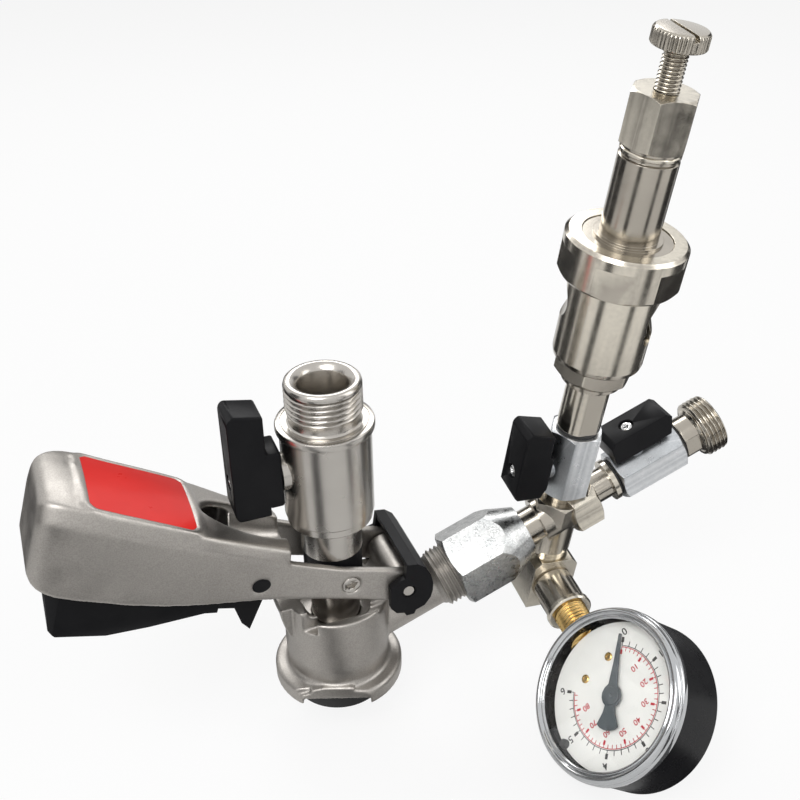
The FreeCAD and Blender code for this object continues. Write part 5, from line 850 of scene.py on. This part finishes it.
def cut_with(piece, cutter_mesh):
    """Cut one mesh out of a piece for good, and throw the cutter away."""
    cutter = bpy.data.objects.new("cutter", cutter_mesh)
    scene.collection.objects.link(cutter)
    cut = piece.modifiers.new("cut", "BOOLEAN")
    cut.operation = "DIFFERENCE"
    cut.solver = "EXACT"
    cut.object = cutter
    settle(piece)
    bpy.data.objects.remove(cutter)
    bpy.data.meshes.remove(cutter_mesh)
    piece.data.set_sharp_from_angle(angle=math.radians(CUT_CREASE_DEG))


def knob_layer(radius, height, depth):
    """One ring of the knob. Two of every four points are pulled in by the depth."""
    sides = GROOVES * 4
    reach = [radius - depth if side % 4 in (0, 1) else radius for side in range(sides)]
    return [(*polar(reach[side], 2 * math.pi * side / sides), height) for side in range(sides)]


knob = add_piece("screw_knob", skinned([
    knob_layer(3.0, KNOB_LOW, 0), knob_layer(8.0, KNOB_LOW, 0), knob_layer(8.5, KNOB_LOW + 0.25, 0),
    knob_layer(KNOB_RADIUS, KNOB_LOW + 0.7, GROOVE_DEPTH),
    knob_layer(KNOB_RADIUS, KNOB_TOP - 1.1, GROOVE_DEPTH),
    knob_layer(8.45, KNOB_TOP - 0.5, 0), knob_layer(7.9, KNOB_TOP - 0.05, 0), knob_layer(7.6, KNOB_TOP, 0),
]), AT_RISER, "nickel_plate", "adjusting_screw", crease_deg=25)
slot_place = Matrix.Translation((0, 0, KNOB_TOP * MM)) @ Matrix.Rotation(math.radians(90), 4, "Z")
cut_with(knob, box_mesh(AT_RISER @ slot_place, (SLOT_LENGTH, SLOT_WIDTH, 2 * SLOT_DEPTH)))
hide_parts("adjusting_screw")
print("knob faces:", len(knob.data.polygons))

# %% [markdown]
# ## The gauge's bezel
#
# A gauge of this kind has a clear cap that snaps over a black case. Its rim bends the light so much that it
# looks like bright metal with fine rings. A turned ring with several small steps gives the same lines.

# %% Turn the bezel
bezel = turned("bezel_ring", [
    (30.45, 7.6), (31.1, 7.6), (31.2, 7.8), (31.2, 9.6), (31.05, 10.4), (30.75, 10.6), (30.75, 11.3),
    (30.5, 12.1), (30.05, 12.7), (29.5, 13.0), (28.9, 12.95), (28.45, 12.6), (28.2, 12.1), (27.95, 12.0),
    (27.7, 12.35), (27.3, 12.45), (26.9, 12.2), (26.6, 11.8), (28.8, 11.75), (28.8, 8.65), (30.45, 8.65),
], AT_DIAL, "clear_bezel", "coupler", sides=144, crease_deg=50)
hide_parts("gauge_bezel")
print("bezel faces:", len(bezel.data.polygons))

# %% [markdown]
# ## The dial's scales
#
# The dial is printed with an outer black scale in bar and an inner red one in pounds per square inch. Both
# run round three quarters of the dial. A print could be an image, but thin raised shapes stay sharp however
# close the camera comes.

# %% Print the scales
DIAL_FACE = 4.6
PRINT_THICKNESS = 0.03
DIAL_START_DEG, DEG_PER_BAR, FULL_SCALE = 225.0, 45.0, 6
BAR_PER_TEN_POUNDS = 0.68948
ARC_STEPS = 180
RING = 18.4

black_print = finish("black dial print", (0.02, 0.02, 0.02), 0.0, 0.5, bump=0.0)
red_print = finish("red dial print", (0.50, 0.015, 0.03), 0.0, 0.5, bump=0.0)


def dial_spot(value, radius):
    """Where a value in bar stands on the dial. The dial's up direction points away from the stem."""
    return polar(-radius, math.radians(DIAL_START_DEG - DEG_PER_BAR * value))


def dial_bar(value, inner, outer, width):
    """Four corners of one straight mark."""
    x0, y0 = dial_spot(value, inner)
    x1, y1 = dial_spot(value, outer)
    length = math.hypot(x1 - x0, y1 - y0)
    dx, dy = -(y1 - y0) / length * width / 2, (x1 - x0) / length * width / 2
    return [(x0 + dx, y0 + dy), (x1 + dx, y1 + dy), (x1 - dx, y1 - dy), (x0 - dx, y0 - dy)]


def dial_arc(radius, width):
    """The line along a scale, as a strip of four-cornered marks."""
    strip = []
    for step in range(ARC_STEPS):
        here = FULL_SCALE * step / ARC_STEPS
        after = FULL_SCALE * (step + 1) / ARC_STEPS
        strip.append([dial_spot(here, radius - width / 2), dial_spot(after, radius - width / 2),
                      dial_spot(after, radius + width / 2), dial_spot(here, radius + width / 2)])
    return strip


def scale_marks(count, unit, long_bars, short_bar):
    """Marks at every fifth of a unit, which is in bar. A whole unit gets the long mark, made of two bars.
    A bar is its inner and outer distance from the ring, and its width."""
    marks = []
    for step in range(count):
        for inner, outer, width in long_bars if step % 5 == 0 else (short_bar,):
            marks.append(dial_bar(step / 5 * unit, RING + inner, RING + outer, width))
    return marks


def printed(name, marks, material):
    """Marks raised a hair above the dial."""
    vertices, faces = [], []
    for mark in marks:
        points, sides = skinned([level(mark, DIAL_FACE), level(mark, DIAL_FACE + PRINT_THICKNESS)])
        faces.extend(tuple(len(vertices) + corner for corner in side) for side in sides)
        vertices.extend(points)
    return add_piece(name, (vertices, faces), AT_DIAL, "dial_white", "coupler", material=material)


black_marks = dial_arc(RING, 0.28) + scale_marks(31, 1, ((0, 1.2, 0.25), (1.2, 3.1, 1.1)), (0, 1.8, 0.32))
red_marks = dial_arc(RING - 0.5, 0.3) + scale_marks(44, BAR_PER_TEN_POUNDS, (
    (-3.1, -1.5, 0.85), (-1.5, -0.45, 0.22)), (-1.9, -0.45, 0.3))
printed("dial_marks_black", black_marks, black_print)
printed("dial_marks_red", red_marks, red_print)
print("dial marks:", len(black_marks), "black,", len(red_marks), "red")

# %% [markdown]
# ## The dial's numbers
#
# Blender's own font is close to the plain figures of a gauge. They all stand upright for a reader who holds
# the stem downwards. Each becomes a mesh a hair thick, with its strokes a little bolder than the font's.

# %% Print the numbers
BOLDER = 0.04
BAR_RADIUS, BAR_SIZE = 23.6, 3.9
POUNDS_RADIUS, POUNDS_SIZE = 12.8, 3.0


def dial_number(text, value, radius, size, material):
    """One number, upright for a reader who holds the stem downwards."""
    curve = bpy.data.curves.new(f"number_{text}", "FONT")
    curve.body = text
    curve.size = size * MM
    curve.align_x = "CENTER"
    curve.align_y = "CENTER"
    curve.extrude = PRINT_THICKNESS / 2 * MM
    curve.offset = BOLDER * MM
    letter = bpy.data.objects.new(f"number_{text}", curve)
    scene.collection.objects.link(letter)
    shape = bpy.data.meshes.new_from_object(letter.evaluated_get(bpy.context.evaluated_depsgraph_get()))
    bpy.data.objects.remove(letter)
    bpy.data.curves.remove(curve)
    x, y = dial_spot(value, radius)
    place = Matrix.Translation(Vector((x, y, DIAL_FACE + 0.02)) * MM)
    shape.transform(AT_DIAL @ place @ Matrix.Diagonal((-1, -1, 1, 1)))
    return dressed(f"dial_number_{text}", shape, material, "coupler")


for number in range(FULL_SCALE + 1):
    dial_number(str(number), number, BAR_RADIUS, BAR_SIZE, black_print)
for tens in range(1, 9):
    dial_number(str(tens * 10), tens * BAR_PER_TEN_POUNDS, POUNDS_RADIUS, POUNDS_SIZE, red_print)
print("dial numbers printed")

# %% [markdown]
# ## Screws and peg of the dial
#
# Two small brass screws hold the dial, and a black peg stands at its rim, beside the number 5. They are
# turned like the larger pieces.

# %% Set the screws and the peg
def dial_button(name, x, y, outline, slot, material=None):
    """A small turned piece that stands on the dial."""
    place = AT_DIAL @ Matrix.Translation(Vector((x, y, DIAL_FACE)) * MM)
    turned(name, outline, place, slot, "coupler", sides=32, material=material)


SCREW_X, SCREW_Y = 6.2, 13.6
SCREW_OUTLINE = [(0, 0), (1.6, 0), (1.6, 0.3), (1.2, 0.6), (0.7, 0.62), (0.6, 0.3), (0, 0.3)]
PEG_VALUE, PEG_RADIUS = 5.0, 26.3
PEG_OUTLINE = [(0, 0), (1.7, 0), (1.7, 1.4), (1.4, 1.7), (0, 1.7)]
dial_button("dial_screw_0", SCREW_X, SCREW_Y, SCREW_OUTLINE, "raw_brass")
dial_button("dial_screw_1", -SCREW_X, SCREW_Y, SCREW_OUTLINE, "raw_brass")
dial_button("dial_stop", *dial_spot(PEG_VALUE, PEG_RADIUS), PEG_OUTLINE, "dial_white", black_print)
print("dial screws and peg set")

# %% [markdown]
# ## The pointer
#
# The pointer is cut from sheet: a slim tapered hand, a round middle and a fan-shaped tail that balances it.
# At rest it points at zero, so we draw it upright and turn the plan. A turned hub joins it to the movement.

# %% Cut the pointer
POINTER_AT_ZERO_DEG = -45
HAND_LOW, HAND_TOP = 6.2, 7.0


def pointer_plan():
    """The pointer's outline, drawn on one side, mirrored, and turned to zero."""
    side = [(-0.42, 22.2), (-0.95, 12.0), (-1.75, 4.0), (-3.2, 2.6), (-4.0, 0.6), (-3.9, -1.0), (-3.1, -2.6),
            (-2.0, -3.5), (-2.5, -6.0), (-4.4, -10.3), (-3.1, -11.4), (-1.2, -12.0)]
    upright = side + [(-x, y) for x, y in reversed(side)]
    cos, sin = polar(1, math.radians(POINTER_AT_ZERO_DEG))
    return [(x * cos - y * sin, x * sin + y * cos) for x, y in upright]


plan = pointer_plan()
hand = add_piece("pointer_hand", skinned([level(plan, HAND_LOW), level(plan, HAND_TOP)]), AT_DIAL,
                 "pointer_grey", "pointer")
hub = turned("pointer_hub", [
    (0, -6.0), (0.8, -6.0), (0.8, 6.2), (3.4, 6.2), (3.4, 7.2), (3.1, 7.5), (0.8, 7.5), (0.6, 7.9), (0, 8.0),
], AT_DIAL, "pointer_grey", "pointer", sides=48)
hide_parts("gauge_pointer")
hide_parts("gauge_pointer")
print("pointer faces:", len(hand.data.polygons) + len(hub.data.polygons))

# %% [markdown]
# ## The castings
#
# The lever and the bell are investment castings with soft edges and a blasted skin. A bevel on each CAD edge
# would leave the corners where several edges meet untidy. We rebuild the surface as an even net and relax it
# a little instead. This rounds every edge by about the same amount, as casting and blasting do.

# %% Round the castings
def copied(node, name):
    """A new object with a copy of a CAD piece's mesh, which stands for that piece."""
    piece = dressed(name, nodes[node].data.copy(), finishes[slot_of[node]], body_of[node])
    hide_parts(node)
    return piece


def cast_piece(node, name, net, rounds):
    """A casting: an even net of faces, its spacing in mm, relaxed a few rounds."""
    piece = copied(node, name)
    remesh = piece.modifiers.new("even net", "REMESH")
    remesh.mode = "VOXEL"
    remesh.voxel_size = net * MM
    remesh.use_smooth_shade = True
    relax = piece.modifiers.new("relax", "SMOOTH")
    relax.factor = 0.5
    relax.iterations = rounds
    settle(piece)
    print(name, "faces:", len(piece.data.polygons))


cast_piece("lever_handle", "lever_casting", 0.55, 16)
cast_piece("coupler_body", "bell_casting", 0.5, 6)

# %% [markdown]
# ## Handles and trigger
#
# Moulded plastic has rounded edges. The edges of these pieces are long and straight, so a plain bevel works
# well here. It goes only on long edges, because the small rings of edges round the holes would tangle.

# %% Round the handles and the trigger
EDGE_FROM_DEG, FLAT_BELOW_DEG, SHORTEST_EDGE = 25, 0.5, 3.0


def moulded(node, width):
    """A copy of a piece with rounded long edges."""
    piece = copied(node, f"{node}_moulded")
    work = bmesh.new()
    work.from_mesh(piece.data)
    bmesh.ops.remove_doubles(work, verts=work.verts, dist=WELD)
    bmesh.ops.dissolve_limit(work, angle_limit=math.radians(FLAT_BELOW_DEG), verts=work.verts,
                             edges=work.edges)
    weight = work.edges.layers.float.new("bevel_weight_edge")
    for edge in work.edges:
        sharp = edge.calc_face_angle(0) > math.radians(EDGE_FROM_DEG)
        if sharp and edge.calc_length() > SHORTEST_EDGE * MM:
            edge[weight] = 1.0
    work.to_mesh(piece.data)
    work.free()
    bevel = piece.modifiers.new("rounded", "BEVEL")
    bevel.limit_method = "WEIGHT"
    bevel.width = width * MM
    bevel.segments = 3
    settle(piece)
    shade(piece.data)


moulded("beer_handle", 1.1)
moulded("gas_handle", 0.7)
moulded("bleed_handle", 0.7)
moulded("trigger", 1.2)
print("handles and trigger rounded")

# %% [markdown]
# ## The lock nut
#
# The lock nut stands with a corner to the front, wherever it was tightened to. We turn a copy of it on its
# own axis.

# %% Turn the lock nut
LOCK_NUT_TURN_DEG = 30
lock_nut = copied("relief_lock_nut", "lock_nut")
nut_turn = Matrix.Rotation(math.radians(LOCK_NUT_TURN_DEG), 4, "Z")
lock_nut.data.transform(AT_RISER @ nut_turn @ AT_RISER.inverted())
print("lock nut turned by", LOCK_NUT_TURN_DEG, "degrees")

# %% [markdown]
# ## Screw recesses
#
# The lever's screws have a six-lobed socket, and the handles' screws a cross. Each recess is a shallow prism
# that we cut out of a copy of the screw. A bump in the material wouldn't catch the light in the same way.

# %% Cut the recesses
LOBE_OUT, LOBE_IN = 2.1, 1.5
SOCKET_DEPTH, CROSS_DEPTH = 1.5, 0.9
LOBES = [polar(LOBE_OUT if index % 2 == 0 else LOBE_IN, math.pi * index / 6) for index in range(12)]
CROSS = [(1.9, 0.3), (0.3, 0.3), (0.3, 1.9), (-0.3, 1.9), (-0.3, 0.3), (-1.9, 0.3),
         (-1.9, -0.3), (-0.3, -0.3), (-0.3, -1.9), (0.3, -1.9), (0.3, -0.3), (1.9, -0.3)]
SMALL_CROSS = [(x * 0.72, y * 0.72) for x, y in CROSS]


def middle_of(node):
    low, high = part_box(node)
    return (Vector(low) + Vector(high)) / 2


def prism_mesh(centre, direction, plan, low, high):
    """A prism on an axis: its plan is in mm, and low and high are distances in metres from the centre."""
    helper = Vector((0, 0, 1)) if abs(direction.z) < 0.9 else Vector((1, 0, 0))
    across = direction.cross(helper).normalized()
    up = direction.cross(across)
    vertices, faces = skinned([[centre + direction * height + (across * x + up * y) * MM for x, y in plan]
                               for height in (low, high)])
    mesh = bpy.data.meshes.new("recess")
    mesh.from_pydata(vertices, [], faces)
    weld(mesh)
    return mesh


def recess(piece, centre, direction, plan, depth):
    """Cut a recess into the end of a piece that points in a direction."""
    direction = Vector(direction).normalized()
    end = max((Vector(vertex.co) - centre).dot(direction) for vertex in piece.data.vertices)
    cut_with(piece, prism_mesh(centre, direction, plan, end - depth * MM, end + MM))


sockets = copied("lever_screws", "lever_socket_screws")
weld(sockets.data, outward=False)
for way in ((0, -1, 0), (0, 1, 0)):
    recess(sockets, middle_of("lever_screws"), way, LOBES, SOCKET_DEPTH)
for valve, cross in (("beer", CROSS), ("gas", SMALL_CROSS), ("bleed", SMALL_CROSS)):
    node = f"{valve}_handle_screw"
    cross_screw = copied(node, f"{valve}_cross_screw")
    weld(cross_screw.data, outward=False)
    recess(cross_screw, middle_of(node), joint_of[f"{valve}_valve_turn"]["axis"], cross, CROSS_DEPTH)
print("recesses cut")

# %% [markdown]
# ## The trigger pin's plugs
#
# A black oval plug covers each end of the trigger's pin. It is a turned button, and its frame is squeezed to
# make it oval.

# %% Plug the pin's ends
PLUG_OUTLINE = [(0, -0.6), (3.9, -0.6), (4.1, 0.05), (3.9, 0.35), (3.0, 0.6), (1.6, 0.75), (0, 0.8)]
PLUG_SQUEEZE = Matrix.Diagonal((1.0, 0.8, 1.0, 1))
pin_low, pin_high = (Vector(corner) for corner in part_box("trigger_pin"))
pin_middle = (pin_low + pin_high) / 2
for name, end_y, turn_deg in (("front", pin_low.y, 90), ("back", pin_high.y, -90)):
    place = Matrix.Translation((pin_middle.x, end_y, pin_middle.z))
    outwards = Matrix.Rotation(math.radians(turn_deg), 4, "X")
    turned(f"pin_plug_{name}", PLUG_OUTLINE, place @ outwards @ PLUG_SQUEEZE, "black_plastic", "lever",
           sides=48)
print("pin plugged")

# %% [markdown]
# ## The gauge's brass stem
#
# Between the plated sleeve and the black case a little of the brass thread stays in sight. We cut that
# stretch off a copy of the stem, keep the socket inside the case, and turn the threaded stretch anew.

# %% Turn the brass thread
STEM_LOW, STEM_TOP = 15.62, 39.2
CUT_WIDTH, CUT_MORE = 30, 2
socket = copied("gauge_stem", "stem_socket")
weld(socket.data, outward=False)
cut_middle = Matrix.Translation((0, 0, (STEM_TOP + STEM_LOW - CUT_MORE) / 2 * MM))
cut_with(socket, box_mesh(AT_STEM @ cut_middle, (CUT_WIDTH, CUT_WIDTH, STEM_TOP - STEM_LOW + CUT_MORE)))
stem = turned("stem_thread", [
    (2.0, STEM_LOW), (5.4, STEM_LOW), (5.9, 16.3), (6.58, 17.0), (6.58, 36.2), (5.9, 36.8), (5.8, 37.4),
    (7.2, 37.5), (7.4, 37.7), (7.4, 39.0), (7.2, STEM_TOP), (2.0, STEM_TOP),
], AT_STEM, "raw_brass", "coupler", sides=64, thread={"low": 16.3, "high": 36.8, "pitch": 1.5, "root": 5.9})
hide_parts("gauge_stem")
print("brass stem faces:", len(stem.data.polygons))

# %% [markdown]
# ## Springs
#
# Both springs are plain tubes in CAD. A round wire that follows a helix is what they are. We sweep a small
# circle along the helix, and the last turns close up, as the ends of a compression spring do.

# %% Wind the trigger's spring
WIRE_SIDES, SLICES_PER_TURN = 8, 20
TRIGGER_SPRING_REACH = 80  # from the lever's hinge, in mm


def coil(name, radius, wire, low, high, turns, place, body):
    """A compression spring. Its first and last turns lie closer together than the rest."""
    layers = []
    for step in range(turns * SLICES_PER_TURN + 1):
        turn = step / SLICES_PER_TURN
        share = min(1.0, max(0.0, (turn - 1) / (turns - 2)))
        closed = (min(turn, 1.0) + max(turn - turns + 1, 0.0)) * wire
        height = low + wire / 2 + closed + (high - low - 3 * wire) * share
        layer = []
        for part in range(WIRE_SIDES):
            out, up = polar(wire / 2, 2 * math.pi * part / WIRE_SIDES)
            layer.append((*polar(radius - wire / 2 + out, 2 * math.pi * turn), height + up))
        layers.append(layer)
    return add_piece(name, skinned(layers), place, "spring_steel", body, crease_deg=60)


def heights_along(node, place):
    """How far a CAD piece reaches along a local frame's Z, in mm."""
    to_local = place.inverted()
    heights = [(to_local @ vertex.co).z / MM for vertex in nodes[node].data.vertices]
    return min(heights), max(heights)


AT_TRIGGER_SPRING = AT_LEVER @ Matrix.Translation((TRIGGER_SPRING_REACH * MM, 0, 0))
low, high = heights_along("trigger_spring", AT_TRIGGER_SPRING)
trigger_coil = coil("trigger_coil", 4.2, 0.9, low, high, 9, AT_TRIGGER_SPRING, "lever")
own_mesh(trigger_coil)
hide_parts("trigger_spring")
print("trigger spring from", round(low, 1), "to", round(high, 1), "mm")

# %% [markdown]
# ## The relief valve's spring
#
# This one is longer and stronger, and the adjusting screw presses it through a plate.

# %% Wind the relief spring
low, high = heights_along("relief_spring", AT_RISER)
relief_coil = coil("relief_coil", 7.2, 1.3, low, high, 15, AT_RISER, "coupler")
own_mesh(relief_coil)
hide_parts("relief_spring")
print("relief spring from", round(low, 1), "to", round(high, 1), "mm")
